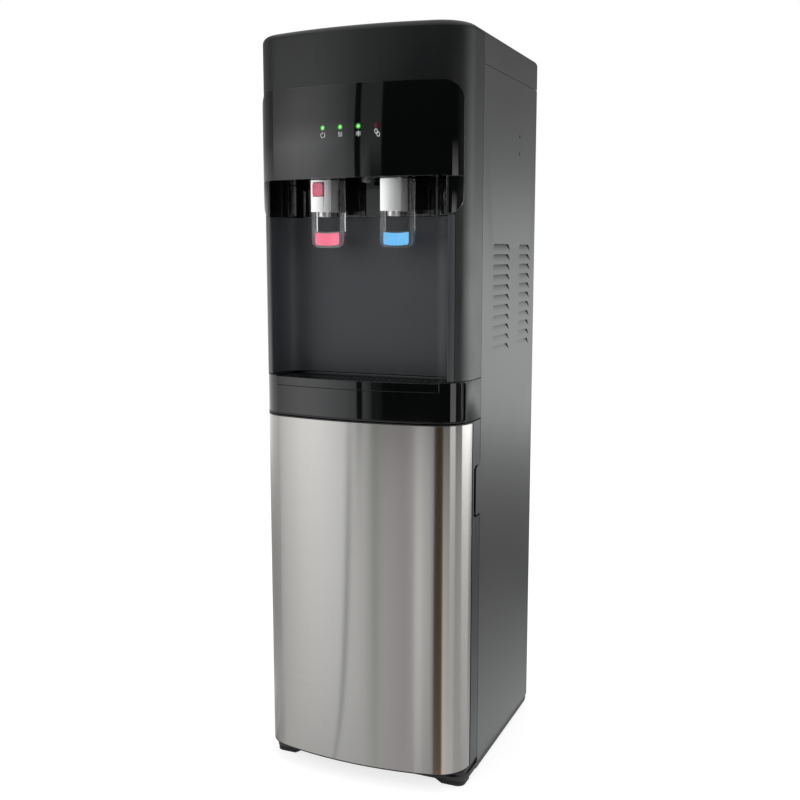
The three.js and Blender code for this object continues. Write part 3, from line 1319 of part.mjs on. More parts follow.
function serpentine() {
  const bend = CONDENSER_PITCH / 2;
  const points = [];
  for (let row = 0; row < CONDENSER_ROWS; row += 1) {
    const z = CONDENSER_BOTTOM_Z + row * CONDENSER_PITCH;
    const sign = row % 2 ? -1 : 1;
    points.push(new THREE.Vector3(-sign * CONDENSER_HALF, CONDENSER_Y, z));
    points.push(new THREE.Vector3(sign * CONDENSER_HALF, CONDENSER_Y, z));
    if (row < CONDENSER_ROWS - 1) {
      const turn = arc(0, 0, bend, -Math.PI / 2, Math.PI / 2, 4).slice(1, -1);
      turn.forEach((p) => {
        points.push(new THREE.Vector3(sign * (CONDENSER_HALF + p.x), CONDENSER_Y, z + bend + p.y));
      });
    }
  }
  return tube(points, CONDENSER_TUBE, 6);
}

// Serpentine tube behind a row of upright wires, on four feet against the rear panel.
function condenser() {
  const top = CONDENSER_BOTTOM_Z + (CONDENSER_ROWS - 1) * CONDENSER_PITCH;
  const z = [CONDENSER_BOTTOM_Z - CONDENSER_MARGIN, top + CONDENSER_MARGIN];
  const half = CONDENSER_WIRE / 2;
  const wires = Array.from({ length: WIRE_COUNT }, (_, i) => {
    const x = (i - (WIRE_COUNT - 1) / 2) * WIRE_PITCH;
    const y = CONDENSER_Y + CONDENSER_TUBE + half - FIT;
    return box([x - half, x + half], [y - half, y + half], z);
  });
  const footX = [CONDENSER_HALF - 6 - CONDENSER_FOOT_WIDTH, CONDENSER_HALF - 6];
  const footY = [REAR_PANEL_OUTER_Y + FIT, CONDENSER_Y];
  const feet = [-1, 1].flatMap((sign) => [CONDENSER_BOTTOM_Z, top].map((level) => (
    sideBox(sign, footX, footY, [level - CONDENSER_FOOT_HALF, level + CONDENSER_FOOT_HALF]))));
  return join([serpentine(), ...wires, ...feet]);
}

add('hot_tank', tank(HOT_TANK, HOT_NIPPLE_Y), STAINLESS);
add('cold_tank', coldTank(), STAINLESS);
add('evaporator_coil', evaporatorCoil(), COPPER);
add('compressor', compressor(), BLACK_STEEL);
add('condenser', condenser(), BLACK_STEEL);

// ---- Rocker switches at the rear

function switchPlate() {
  const face = REAR_PANEL_OUTER_Y + FIT;
  const plate = switchBox(SWITCH_HALF_WIDTH + 6, SWITCH_HALF_HEIGHT + 6, [face, face + MOULDING]);
  return plate.subtract(join(switchXs().map((x) => switchWindow(x, [face, face + MOULDING]))));
}

// Shallow V that tilts about the middle of its depth.
function rocker() {
  const tall = SWITCH_HALF_HEIGHT;
  const outline = toPoints([[-4, -tall + 2], [2.5, -tall], [1.2, 0], [2.5, tall], [-4, tall - 2]]);
  return prismX(outline, [-SWITCH_HALF_WIDTH, SWITCH_HALF_WIDTH]);
}

add('switch_plate', switchPlate(), BASE_BLACK);
SWITCH_NAMES.forEach((name, i) => {
  const finish = { color: SWITCH_COLOURS[i], roughness: 0.35, metalness: 0 };
  add(name, rocker(), finish, [switchXs()[i], SWITCH_AXIS_Y, SWITCH_Z]);
});

export default cooler;
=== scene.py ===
import math

import bmesh
import bpy
from mathutils import Matrix, Vector


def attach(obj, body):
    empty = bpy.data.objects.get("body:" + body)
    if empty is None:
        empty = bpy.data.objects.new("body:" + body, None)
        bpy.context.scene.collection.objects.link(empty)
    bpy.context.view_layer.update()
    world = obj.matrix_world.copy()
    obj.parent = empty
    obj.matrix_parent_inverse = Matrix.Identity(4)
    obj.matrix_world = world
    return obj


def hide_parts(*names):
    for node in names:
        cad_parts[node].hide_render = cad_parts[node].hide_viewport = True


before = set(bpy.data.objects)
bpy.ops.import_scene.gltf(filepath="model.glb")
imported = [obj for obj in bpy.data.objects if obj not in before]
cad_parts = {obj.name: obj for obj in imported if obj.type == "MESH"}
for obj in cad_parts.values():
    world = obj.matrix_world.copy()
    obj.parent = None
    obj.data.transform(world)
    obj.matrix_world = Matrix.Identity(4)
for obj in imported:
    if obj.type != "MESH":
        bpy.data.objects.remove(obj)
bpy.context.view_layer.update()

# ---- Front shell
# One satin black plastic moulding from the tray seam over the rounded top edge. It wraps the bowed front and
# both round corners, ends at a seam on each side, and is cut out round the alcove and behind the hood.

# Lengths in this script are millimetres until piece() makes them metres.
FRONT_Y = -174.0
BOW_RADIUS = 541.0
CORNER_RADIUS = 50.0
HALF_WIDTH = 155.0
REAR_Y = 176.0
TOP_Z = 1042.0
BOW_CENTRE_Y = FRONT_Y + BOW_RADIUS
CORNER_X = HALF_WIDTH - CORNER_RADIUS
BOW_TURN = math.asin(CORNER_X / (BOW_RADIUS - CORNER_RADIUS))
CORNER_Y = BOW_CENTRE_Y - (BOW_RADIUS - CORNER_RADIUS) * math.cos(BOW_TURN)
BLOCK_FOOT_Z = 570.0
ALCOVE_FOOT_Z = 579.9
RECESS_FOOT_Z = 799.4


def new_verts(made, group="geom"):
    """Vertices among what an operator made."""
    return [g for g in made[group] if isinstance(g, bmesh.types.BMVert)]


def everything(bm):
    return bm.verts[:] + bm.edges[:] + bm.faces[:]


def moved(bm, vec, verts=None):
    bmesh.ops.translate(bm, verts=bm.verts[:] if verts is None else verts, vec=vec)


def arc(bm, vert, centre, angle, steps):
    """Draws an arc from a vertex about an upright axis and gives its last vertex."""
    drawn = bmesh.ops.spin(bm, geom=[vert], cent=centre, axis=(0, 0, 1), angle=angle, steps=steps)
    return new_verts(drawn, "geom_last")[0]


def outline_half(bm, z, corner_turn=math.pi / 2 - BOW_TURN):
    """Right half of the cabinet's outline from the middle of the bow round the corner; gives its last vertex."""
    bow_end = arc(bm, bm.verts.new((0, FRONT_Y, z)), (0, BOW_CENTRE_Y, z), BOW_TURN, 14)
    return arc(bm, bow_end, (CORNER_X, CORNER_Y, z), corner_turn, 18)


def draw_to(bm, vert, point):
    """Draws a straight edge from a vertex to a point."""
    end = bm.verts.new(point)
    bm.edges.new((vert, end))
    return end


def merged(bm, reach):
    bmesh.ops.remove_doubles(bm, verts=bm.verts[:], dist=reach)


def mirrored(bm):
    bmesh.ops.mirror(bm, geom=everything(bm), matrix=Matrix.Identity(4), merge_dist=0.001, axis="X")
    merged(bm, 0.001)


def outwards(bm):
    bmesh.ops.recalc_face_normals(bm, faces=bm.faces[:])


def filled(bm):
    """Closes a flat outline with a face."""
    return bmesh.ops.contextual_create(bm, geom=bm.edges[:])["faces"]


def raised(bm, height):
    """Draws every edge of a flat line up into a wall."""
    wall = bmesh.ops.extrude_edge_only(bm, edges=bm.edges[:])
    moved(bm, (0, 0, height), new_verts(wall))


def rounded_corners(bm, verts, radius, segments):
    bmesh.ops.bevel(bm, geom=verts, offset=radius, segments=segments, profile=0.5, affect="VERTICES", material=-1)


def face_away(bm, centre, inwards=False):
    """Turns each face so that it looks away from a point, or towards it."""
    bm.normal_update()
    wrong = [
        f for f in bm.faces
        if ((f.calc_center_median() - Vector(centre)).dot(f.normal) < 0) != inwards]
    bmesh.ops.reverse_faces(bm, faces=wrong)


def trimmed(bm, point, normal):
    """Cuts away what lies beyond a plane, on the side its normal points to."""
    bmesh.ops.bisect_plane(bm, geom=everything(bm), plane_co=point, plane_no=normal, clear_outer=True)


def set_all(thing, **values):
    for name, value in values.items():
        setattr(thing, name, value)
    return thing


def placed(name, bm, finish=None):
    """Puts a shape in the scene as an object with one finish."""
    mesh = bpy.data.meshes.new(name)
    bm.to_mesh(mesh)
    bm.free()
    if finish:
        mesh.materials.append(finish)
    obj = bpy.data.objects.new(name, mesh)
    bpy.context.scene.collection.objects.link(obj)
    return obj


def in_metres(bm):
    bmesh.ops.scale(bm, vec=(0.001, 0.001, 0.001), verts=bm.verts[:])


def smoothed(obj, edge, steps, sharp):
    """Shades a shape smooth, with its sharp edges rounded or else marked."""
    obj.data.polygons.foreach_set("use_smooth", [True] * len(obj.data.polygons))
    if edge:
        set_all(
            obj.modifiers.new("edges", "BEVEL"), width=edge / 1000, segments=steps, limit_method="ANGLE",
            angle_limit=math.radians(sharp), harden_normals=True)
    else:
        obj.data.set_sharp_from_angle(angle=math.radians(sharp))


def piece(name, bm, finish, slot, body="cabinet", nodes=(), wall=0.0, edge=0.0, steps=3, sharp=32):
    """Makes the drawn shape an object in metres, with a wall and rounded edges, on its body."""
    in_metres(bm)
    obj = placed(name, bm, finish)
    if wall:
        set_all(obj.modifiers.new("wall", "SOLIDIFY"), thickness=wall / 1000, offset=-1, use_even_offset=True)
    smoothed(obj, edge, steps, sharp)
    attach(obj, body)
    if nodes:
        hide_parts(*nodes)
    return obj


def applied(obj):
    """Makes the shape under the modifiers the object's own mesh."""
    shape = bpy.data.meshes.new_from_object(obj.evaluated_get(bpy.context.evaluated_depsgraph_get()))
    obj.modifiers.clear()
    obj.data = shape


def carved(obj, cutters, edge=0.0, sharp=32):
    """Cuts closed shapes out of an object, then rounds the edges that are left."""
    for bm in cutters:
        outwards(bm)
        in_metres(bm)
        cutter = placed("cutter", bm)
        set_all(obj.modifiers.new("cut", "BOOLEAN"), operation="DIFFERENCE", solver="EXACT", object=cutter)
        applied(obj)
        bpy.data.objects.remove(cutter)
    smoothed(obj, edge, 3, sharp)


def rounded_plate(x, z, radii, segments=8, y=0.0):
    """Flat plate in x and z that faces forwards, with its corners rounded from lower left, counter-clockwise."""
    bm = bmesh.new()
    corners = [bm.verts.new(p) for p in ((x[0], y, z[0]), (x[1], y, z[0]), (x[1], y, z[1]), (x[0], y, z[1]))]
    bm.faces.new(corners)
    for vert, radius in zip(corners, radii):
        if radius:
            rounded_corners(bm, [vert], radius, segments)
    return bm


def deepened(bm, depth, axis=(0, 1, 0)):
    """Gives flat faces a depth along an axis."""
    grown = bmesh.ops.extrude_face_region(bm, geom=bm.faces[:])
    moved(bm, Vector(axis) * depth, new_verts(grown))
    outwards(bm)
    return bm


def block(x, y, z):
    bm = bmesh.new()
    bmesh.ops.create_cube(bm, size=1)
    bmesh.ops.scale(bm, vec=(x[1] - x[0], y[1] - y[0], z[1] - z[0]), verts=bm.verts[:])
    moved(bm, ((x[0] + x[1]) / 2, (y[0] + y[1]) / 2, (z[0] + z[1]) / 2))
    return bm


def feed(node, inputs):
    """Sets a node's inputs; one given as another node's output is linked to it."""
    for name, value in inputs.items():
        if isinstance(value, bpy.types.NodeSocket):
            node.id_data.links.new(value, node.inputs[name])
        else:
            node.inputs[name].default_value = value
    return node


def add_node(tree, kind, inputs=None, **settings):
    return feed(set_all(tree.nodes.new("ShaderNode" + kind), **settings), inputs or {})


def shader_of(material):
    return material.node_tree.nodes["Principled BSDF"]


def blank_material(name):
    material = bpy.data.materials.new(name)
    material.use_nodes = True
    return material, material.node_tree, shader_of(material)


def shades(tree, share, *stops):
    """Colour that goes from one stop's shade to the next one's."""
    ramp = add_node(tree, "ValToRGB", {"Fac": share})
    for element, (position, shade) in zip(ramp.color_ramp.elements, stops):
        element.position, element.color = position, (*shade, 1)
    return ramp.outputs["Color"]


def wander(tree, share, middle, spread):
    """Value that strays from its middle by up to the spread."""
    return add_node(tree, "MapRange", {
        "Value": share, "From Min": 0.3, "From Max": 0.7, "To Min": middle - spread, "To Max": middle + spread,
    }).outputs["Result"]


def bumps(tree, height, strength, distance):
    return add_node(tree, "Bump", {"Height": height, "Strength": strength, "Distance": distance}).outputs["Normal"]


def moulded(name, dark, light, roughness, spread=0.04, grain=900, relief=0.05, patches=14, metallic=0.0, ior=1.5):
    """Plastic or paint: two close shades in soft patches, a fine grain, and a roughness that wanders a little."""
    material, tree, shader = blank_material(name)
    place = add_node(tree, "TexCoord").outputs["Object"]
    cloud = add_node(tree, "TexNoise", {"Vector": place, "Scale": patches, "Detail": 4}).outputs["Fac"]
    grains = add_node(tree, "TexNoise", {"Vector": place, "Scale": grain, "Detail": 3}).outputs["Fac"]
    feed(shader, {
        "Metallic": metallic, "IOR": ior, "Base Color": shades(tree, cloud, (0.3, dark), (0.7, light)),
        "Roughness": wander(tree, cloud, roughness, spread), "Normal": bumps(tree, grains, relief, 0.001)})
    return material


SATIN_BLACK = moulded(
    "satin_black_plastic", (0.0045, 0.005, 0.0055), (0.006, 0.0065, 0.007), 0.36, grain=300, relief=0.012)


def top_block():
    """Cabinet's closed upper block with its top edge rounded to a radius of 9."""
    bm = bmesh.new()
    rear = draw_to(bm, outline_half(bm, BLOCK_FOOT_Z), (HALF_WIDTH, REAR_Y, BLOCK_FOOT_Z))
    draw_to(bm, rear, (0, REAR_Y, BLOCK_FOOT_Z))
    mirrored(bm)
    base = filled(bm)
    grown = bmesh.ops.extrude_face_region(bm, geom=base)
    moved(bm, (0, 0, TOP_Z - BLOCK_FOOT_Z), new_verts(grown))
    outwards(bm)
    rim = [e for e in bm.edges if all(v.co.z > TOP_Z - 1 for v in e.verts)]
    bmesh.ops.bevel(bm, geom=rim, offset=9, segments=8, profile=0.5, affect="EDGES", material=-1)
    return bm


shell_bm = top_block()
trimmed(shell_bm, (0, 0, ALCOVE_FOOT_Z), (0, 0, -1))
trimmed(shell_bm, (0, -82.8, 0), (0, 1, 0))
front_shell = piece(
    "front_shell_moulding", shell_bm, SATIN_BLACK, "satin_black", nodes=["front_shell"], wall=3)
window = deepened(rounded_plate((-146, 146), (803, 963.5), (18, 18, 18, 18), y=-300), 200)
carved(front_shell, [
    window,
    block((-140, 140), (-300, -99), (500, RECESS_FOOT_Z)),
    block((-133.9, 133.9), (-300, -96.1), (799, 848)),
], edge=0.35)

# ---- Top cover
# Dark grey coated steel lid behind the front shell. It carries the shell's rounded edge round the rear,
# and its lower rim meets the side panels at a fine seam.

PANEL_PAINT = moulded(
    "dark_grey_coated_steel", (0.028, 0.0275, 0.0265), (0.034, 0.0335, 0.032), 0.3, spread=0.02, grain=260,
    relief=0.006, patches=5)

cover_bm = top_block()
trimmed(cover_bm, (0, 0, 997.9), (0, 0, -1))
trimmed(cover_bm, (0, -82, 0), (0, -1, 0))
top_cover = piece("top_cover_lid", cover_bm, PANEL_PAINT, "panel_paint", nodes=["top_cover"], wall=2.5)
applied(top_cover)
carved(top_cover, [], edge=0.3)

# ---- Side panels
# Coated steel sheets with two columns of eleven louvres pressed inwards. Each louvre is flush at its foot,
# deepest at its open top edge and tapered at both ends; the sheet turns in at the rear, and on the right it
# has a tab that half covers the finger slot of the door.

LOUVRE_COLUMNS = ((-36.0, 47.0), (90.0, 152.0))
LOUVRE_ROWS = 11
LOUVRE_TOP_Z = 752.0
LOUVRE_PITCH = 14.4
LOUVRE_HEIGHT = 9.6
LOUVRE_PRESS = Vector((-2.2, 0, 0.3))
SCREW_HOLE_RADIUS = 2.5
SIDE_SCREW_Y = 87.0
SIDE_SCREW_ZS = (919.0, 894.5)
GRIP_TAB = [(-82.0, 461.0), (-97.0, 455.0), (-99.2, 451.5), (-99.2, 390.0), (-97.5, 388.2), (-82.0, 388.2)]


def side_panel(name, node):
    """Right-hand panel in the plane of its outer face."""
    bm = bmesh.new()
    x = HALF_WIDTH
    border = [(-82, 17), (REAR_Y, 17), (REAR_Y, 997.1), (-82, 997.1)]
    if node.startswith("right"):
        border += GRIP_TAB
    rim = [bm.verts.new((x, y, z)) for y, z in border]
    rim_edges = [bm.edges.new((rim[i], rim[i - 1])) for i in range(len(rim))]
    louvres = []
    for y0, y1 in LOUVRE_COLUMNS:
        for row in range(LOUVRE_ROWS):
            foot = LOUVRE_TOP_Z - row * LOUVRE_PITCH
            head = foot + LOUVRE_HEIGHT
            ring = [bm.verts.new((x, y, z)) for y, z in ((y0, foot), (y1, foot), (y1 - 11, head), (y0 + 4.5, head))]
            louvres.append(ring)
            rim_edges += [bm.edges.new((ring[i], ring[i - 1])) for i in range(4)]
    holes = []
    for z in SIDE_SCREW_ZS:
        centre = Vector((x, SIDE_SCREW_Y, z))
        start = bm.verts.new(centre + Vector((0, SCREW_HOLE_RADIUS, 0)))
        bmesh.ops.spin(
            bm, geom=[start], cent=centre, axis=(1, 0, 0), angle=2 * math.pi, steps=12, use_merge=True)
        hole = [v for v in bm.verts if (v.co - centre).length < SCREW_HOLE_RADIUS + 0.1]
        holes.append(hole)
        rim_edges += list({e for v in hole for e in v.link_edges})
    bmesh.ops.triangle_fill(bm, use_beauty=True, use_dissolve=False, edges=rim_edges)
    inside = [f for f in bm.faces if any(all(v in ring for v in f.verts) for ring in louvres + holes)]
    bmesh.ops.delete(bm, geom=inside, context="FACES_KEEP_BOUNDARY")
    for low_rear, low_front, high_front, high_rear in louvres:
        deep_rear = bm.verts.new(high_rear.co + LOUVRE_PRESS)
        deep_front = bm.verts.new(high_front.co + LOUVRE_PRESS)
        bm.faces.new((low_rear, low_front, deep_front, deep_rear))
        bm.faces.new((low_front, high_front, deep_front))
        bm.faces.new((low_rear, deep_rear, high_rear))
    rear_edge = [e for e in bm.edges if all(abs(v.co.y - REAR_Y) < 0.01 for v in e.verts)]
    turned = bmesh.ops.extrude_edge_only(bm, edges=rear_edge)
    moved(bm, (-15, 0, 0), new_verts(turned))
    outwards(bm)
    bm.normal_update()
    flat = max(bm.faces, key=lambda f: f.calc_area())
    if flat.normal.x < 0:
        bmesh.ops.reverse_faces(bm, faces=bm.faces[:])
    if node.startswith("left"):
        bmesh.ops.scale(bm, vec=(-1, 1, 1), verts=bm.verts[:])
        bmesh.ops.reverse_faces(bm, faces=bm.faces[:])
    return piece(name, bm, PANEL_PAINT, "panel_paint", nodes=[node], wall=1, edge=0.25, steps=2, sharp=20)


side_panel("right_louvred_panel", "right_side_panel")
side_panel("left_louvred_panel", "left_side_panel")

# ---- Hood panel
# High-gloss black plastic face, 2 mm proud of the shell, with rounded upper corners; its radiused edge carries
# a painted highlight in a bright grey metal finish. It snaps over the window in the shell.

GLOSS_BLACK = moulded(
    "high_gloss_black_plastic", (0.0018, 0.002, 0.0022), (0.0026, 0.0028, 0.003), 0.045, spread=0.01, grain=45,
    relief=0.008, patches=7, ior=1.58)


def front_y(x, proud=0.0):
    """Depth of the cabinet's front at x, over the bow and the round corner."""
    side = abs(x)
    if side <= (BOW_RADIUS + proud) * math.sin(BOW_TURN):
        return BOW_CENTRE_Y - math.sqrt((BOW_RADIUS + proud) ** 2 - side ** 2)
    return CORNER_Y - math.sqrt(max((CORNER_RADIUS + proud) ** 2 - (side - CORNER_X) ** 2, 0))


def cut_across(bm, x):
    bmesh.ops.bisect_plane(bm, geom=everything(bm), plane_co=(x, 0, 0), plane_no=(1, 0, 0))


def bow_cuts(proud=0.0):
    """Places across the front at which a plate is cut so that it can bend."""
    bow = [(BOW_RADIUS + proud) * math.sin(BOW_TURN * i / 12) for i in range(13)]
    corner = [CORNER_X + (CORNER_RADIUS + proud) * math.sin(BOW_TURN + math.radians(4 * i)) for i in range(1, 19)]
    return sorted({round(sign * x, 4) for x in bow + corner for sign in (-1, 1)})


def laid_on_front(bm, proud=0.0):
    """Bends a flat plate over the front."""
    low, high = min(v.co.x for v in bm.verts), max(v.co.x for v in bm.verts)
    for x in bow_cuts(proud):
        if low + 0.05 < x < high - 0.05:
            cut_across(bm, x)
    for vert in bm.verts:
        vert.co.y += front_y(vert.co.x, proud)
    return bm


# Bright grey metal finish for the rounded edges of the gloss black parts: a painted highlight on black plastic.
PAINTED_EDGE_HIGHLIGHT = moulded(
    "painted_edge_highlight", (0.38, 0.382, 0.385), (0.43, 0.432, 0.435), 0.18, spread=0.02, grain=45, relief=0.005,
    patches=7, metallic=0.9)


OUTER_FACE = 0.6
HOOD_PROUD = 2.0
HOOD_HALF = 148.6


def rim_with_painted_highlight(obj, radius):
    """Rounds the outer edges of a glossy plate on the front and paints a highlight on all but the top ones."""
    applied(obj)
    obj.data.materials.append(PAINTED_EDGE_HIGHLIGHT)
    bm = bmesh.new()
    bm.from_mesh(obj.data)
    bm.normal_update()

    def outward(face):
        """How nearly a face looks away from an upright line inside the cabinet."""
        middle = face.calc_center_median()
        return face.normal.dot((middle - Vector((0, 0.02, middle.z))).normalized())

    rim = []
    for edge in bm.edges:
        if len(edge.link_faces) == 2 and edge.calc_face_angle(0) > 1:
            looks = [outward(f) for f in edge.link_faces]
            if max(looks) > OUTER_FACE > min(looks):
                rim.append(edge)
    rounded = bmesh.ops.bevel(
        bm, geom=rim, offset=radius / 1000, segments=5, profile=0.5, affect="EDGES", material=-1, clamp_overlap=True)
    for face in rounded["faces"]:
        # Rounded faces that do not look up get the painted highlight.
        face.material_index = 1 if face.normal.z < 0.3 else 0
    bm.to_mesh(obj.data)
    bm.free()
    smoothed(obj, 0, 0, 30)


hood_bm = laid_on_front(
    rounded_plate((-HOOD_HALF, HOOD_HALF), (848, 967.5), (0, 0, 22, 22), segments=10), HOOD_PROUD)
rim_with_painted_highlight(piece("hood_face", hood_bm, GLOSS_BLACK, "gloss_black", nodes=["hood_panel"], wall=2.4), 1.9)

# ---- Indicator lamps
# Four round lenses of 5 mm set in the hood, three lit green and the last one dark red and unlit. Each shows
# a shallow dome in a darker rim of its own colour.


def lamp_lens(name, deep, bright, glow):
    """Lens plastic, brighter in its middle by a glow of its own."""
    material = moulded(name, deep, bright, 0.12, spread=0.03, grain=700, relief=0.02, patches=300)
    feed(shader_of(material), {"Emission Color": (*bright, 1), "Emission Strength": glow})
    return material


GREEN_LENS = lamp_lens("green_lamp_lens", (0.12, 0.6, 0.1), (0.22, 0.75, 0.17), 0.35)
# The red lamp is unlit; the faint glow its lens is given here is painted light.
RED_LENS = lamp_lens("dark_red_lamp_lens", (0.03, 0.002, 0.005), (0.06, 0.004, 0.01), 0.1)
GREEN_RIM = moulded("green_lamp_rim", (0.01, 0.14, 0.015), (0.016, 0.2, 0.022), 0.2, patches=60)
RED_RIM = moulded("dark_red_lamp_rim", (0.035, 0.002, 0.006), (0.05, 0.003, 0.01), 0.2, patches=60)
LAMP_XS = (-38.3, -12.0, 14.3, 40.6)
LAMP_Z = 912.8


def turned_shape(profile, steps=32):
    """Turns a profile of (radius, height) pairs about the z axis and closes its poles."""
    bm = bmesh.new()
    verts = [bm.verts.new((r, 0, z)) for r, z in profile]
    edges = [bm.edges.new(pair) for pair in zip(verts, verts[1:])]
    bmesh.ops.spin(
        bm, geom=verts + edges, cent=(0, 0, 0), axis=(0, 0, 1), angle=2 * math.pi, steps=steps, use_merge=True)
    merged(bm, 0.0005)
    outwards(bm)
    return bm


def facing_front(bm, x, z, proud):
    """Stands a shape drawn along +z on the front at x, looking outwards."""
    turn = math.asin(x / (BOW_RADIUS + proud))
    matrix = Matrix.Translation((x, front_y(x, proud), z)) @ Matrix.Rotation(turn, 4, "Z") @ Matrix.Rotation(
        math.pi / 2, 4, "X")
    bmesh.ops.transform(bm, matrix=matrix, verts=bm.verts[:])
    return bm


for node, x in zip(("power_lamp", "heating_lamp", "cooling_lamp", "empty_lamp"), LAMP_XS):
    lens = turned_shape([(0, -2), (2.4, -2), (2.4, 0.04), (2.1, 0.11), (1.2, 0.16), (0, 0.18)])
    lit = node != "empty_lamp"
    piece(node + "_lens", facing_front(lens, x, LAMP_Z, HOOD_PROUD), GREEN_LENS if lit else RED_LENS,
          "lamp_green" if lit else "lamp_red", nodes=[node], sharp=50)
    rim = turned_shape([(2.45, -0.4), (3.9, -0.4), (3.9, 0.03), (3.5, 0.11), (2.6, 0.14), (2.45, -0.4)])
    piece(node + "_rim", facing_front(rim, x, LAMP_Z, HOOD_PROUD), GREEN_RIM if lit else RED_RIM,
          "lamp_green" if lit else "lamp_red", sharp=50)

# ---- Printed symbols
# White symbols printed under the lamps: power, heat, cold and empty bottle. Each is a film of ink on the
# glossy face, drawn with a line half a millimetre wide.

INK = moulded("white_printed_ink", (0.66, 0.67, 0.68), (0.76, 0.77, 0.78), 0.4, patches=500, grain=1500)
SYMBOL_Z = 903.4
LINE = 0.52


def stroke(bm, points):
    """A flat line of ink through points given as (across, up)."""
    for (u0, v0), (u1, v1) in zip(points, points[1:]):
        along = Vector((u1 - u0, v1 - v0)).normalized() * (LINE / 2)
        side = Vector((-along.y, along.x))
        ends = ((Vector((u0, v0)) - along * 0.4), (Vector((u1, v1)) + along * 0.4))
        quad = (ends[0] + side, ends[0] - side, ends[1] - side, ends[1] + side)
        bm.faces.new([bm.verts.new((p.x, p.y, 0)) for p in quad])


def ring(bm, radius_u, radius_v, centre=(0, 0), start=0.0, sweep=360.0, lean=0.0, steps=30):
    """An open or closed ring of ink, spun from one short edge."""
    inner = bm.verts.new((radius_u - LINE / 2, 0, 0))
    outer = bm.verts.new((radius_u + LINE / 2, 0, 0))
    edge = bm.edges.new((inner, outer))
    before = set(bm.verts) - {inner, outer}
    bmesh.ops.rotate(bm, verts=[inner, outer], cent=(0, 0, 0), matrix=Matrix.Rotation(math.radians(start), 3, "Z"))
    bmesh.ops.spin(
        bm, geom=[inner, outer, edge], cent=(0, 0, 0), axis=(0, 0, 1), angle=math.radians(sweep), steps=steps,
        use_merge=sweep == 360.0)
    drawn = [v for v in bm.verts if v not in before]
    bmesh.ops.scale(bm, vec=(1, radius_v / radius_u, 1), verts=drawn)
    bmesh.ops.rotate(bm, verts=drawn, cent=(0, 0, 0), matrix=Matrix.Rotation(math.radians(lean), 3, "Z"))
    moved(bm, (centre[0], centre[1], 0), drawn)


def printed(name, bm, x):
    """Raises the ink to a film and puts it on the hood's face."""
    merged(bm, 0.0005)
    outwards(bm)
    deepened(bm, 0.06, (0, 0, 1))
    piece(name, facing_front(bm, x, SYMBOL_Z, 1.98), INK, "white_plastic", sharp=60)


power = bmesh.new()
ring(power, 3.2, 3.2, start=120, sweep=300)
stroke(power, [(0, 1.2), (0, 4.0)])
printed("power_symbol", power, LAMP_XS[0])

heat = bmesh.new()
for shift in (-2.2, 0.0, 2.2):
    wave = [(shift + 0.55 * math.sin(t * math.pi / 3.5), -3.0 + t * 0.86) for t in range(8)]
    stroke(heat, wave)
printed("heat_symbol", heat, LAMP_XS[1])

cold = bmesh.new()
for turn in range(6):
    angle = math.radians(30 + turn * 60)
    way = Vector((math.cos(angle), math.sin(angle)))
    across = Vector((-way.y, way.x))
    stroke(cold, [(0, 0), tuple(way * 3.8)])
    stroke(cold, [tuple(way * 2.7 - across * 0.55), tuple(way * 2.7 + across * 0.55)])
printed("cold_symbol", cold, LAMP_XS[2])

empty = bmesh.new()
ring(empty, 2.0, 2.9, centre=(-1.5, 1.9), lean=18)
ring(empty, 2.0, 2.9, centre=(1.3, -1.7), lean=18)
printed("empty_symbol", empty, LAMP_XS[3])

# ---- Tap housing
# High-gloss black moulding that lines the recess round the taps: side walls with round rear corners, a
# ceiling, and a leg down each side of the front with its outer corner rounded.


ALCOVE_HALF = 131.0
ALCOVE_BACK_Y = -99.0
ALCOVE_BEND = (95.0, -135.0)
RECESS_TOP_Z = 847.6


def alcove_line(bm, z, proud_front):
    """Half the alcove's wall seen from above, from the middle of its back to the front edge."""
    bend = draw_to(bm, bm.verts.new((0, ALCOVE_BACK_Y, z)), (ALCOVE_BEND[0], ALCOVE_BACK_Y, z))
    corner = arc(bm, bend, (*ALCOVE_BEND, z), -math.pi / 2, 12)
    return draw_to(bm, corner, (ALCOVE_HALF, front_y(ALCOVE_HALF, proud_front) + 0.5, z))


housing_bm = bmesh.new()
alcove_line(housing_bm, RECESS_FOOT_Z, HOOD_PROUD)
mirrored(housing_bm)
raised(housing_bm, 48.2)
face_away(housing_bm, (0, -150, 823), inwards=True)
for x, radii in (((-HOOD_HALF, -ALCOVE_HALF), (22, 0, 0, 0)), ((ALCOVE_HALF, HOOD_HALF), (0, 22, 0, 0))):
    leg = laid_on_front(rounded_plate(x, (799, RECESS_TOP_Z), radii, segments=10), HOOD_PROUD)
    leg_mesh = bpy.data.meshes.new("leg")
    leg.to_mesh(leg_mesh)
    leg.free()
    housing_bm.from_mesh(leg_mesh)
    bpy.data.meshes.remove(leg_mesh)
# The legs' rounded outer edges get the same painted highlight as the hood.
rim_with_painted_highlight(piece("tap_recess", housing_bm, GLOSS_BLACK, "gloss_black", nodes=["tap_housing"], wall=2.2), 1.7)

ceiling_bm = bmesh.new()
middle = ceiling_bm.verts.new((0, FRONT_Y + 0.4, RECESS_TOP_Z))
bow_end = arc(ceiling_bm, middle, (0, BOW_CENTRE_Y, RECESS_TOP_Z), BOW_TURN, 10)
front_corner = draw_to(ceiling_bm, bow_end, (ALCOVE_HALF, front_y(ALCOVE_HALF) + 0.6, RECESS_TOP_Z))
side = draw_to(ceiling_bm, front_corner, (ALCOVE_HALF, ALCOVE_BEND[1], RECESS_TOP_Z))
rear_corner = arc(ceiling_bm, side, (*ALCOVE_BEND, RECESS_TOP_Z), math.pi / 2, 10)
draw_to(ceiling_bm, rear_corner, (0, ALCOVE_BACK_Y, RECESS_TOP_Z))
mirrored(ceiling_bm)
filled(ceiling_bm)
deepened(ceiling_bm, 2.4, (0, 0, 1))
piece("recess_ceiling", ceiling_bm, GLOSS_BLACK, "gloss_black", sharp=40)

# ---- Night light
# Small frosted lens under the recess ceiling, between the taps and a little behind them.

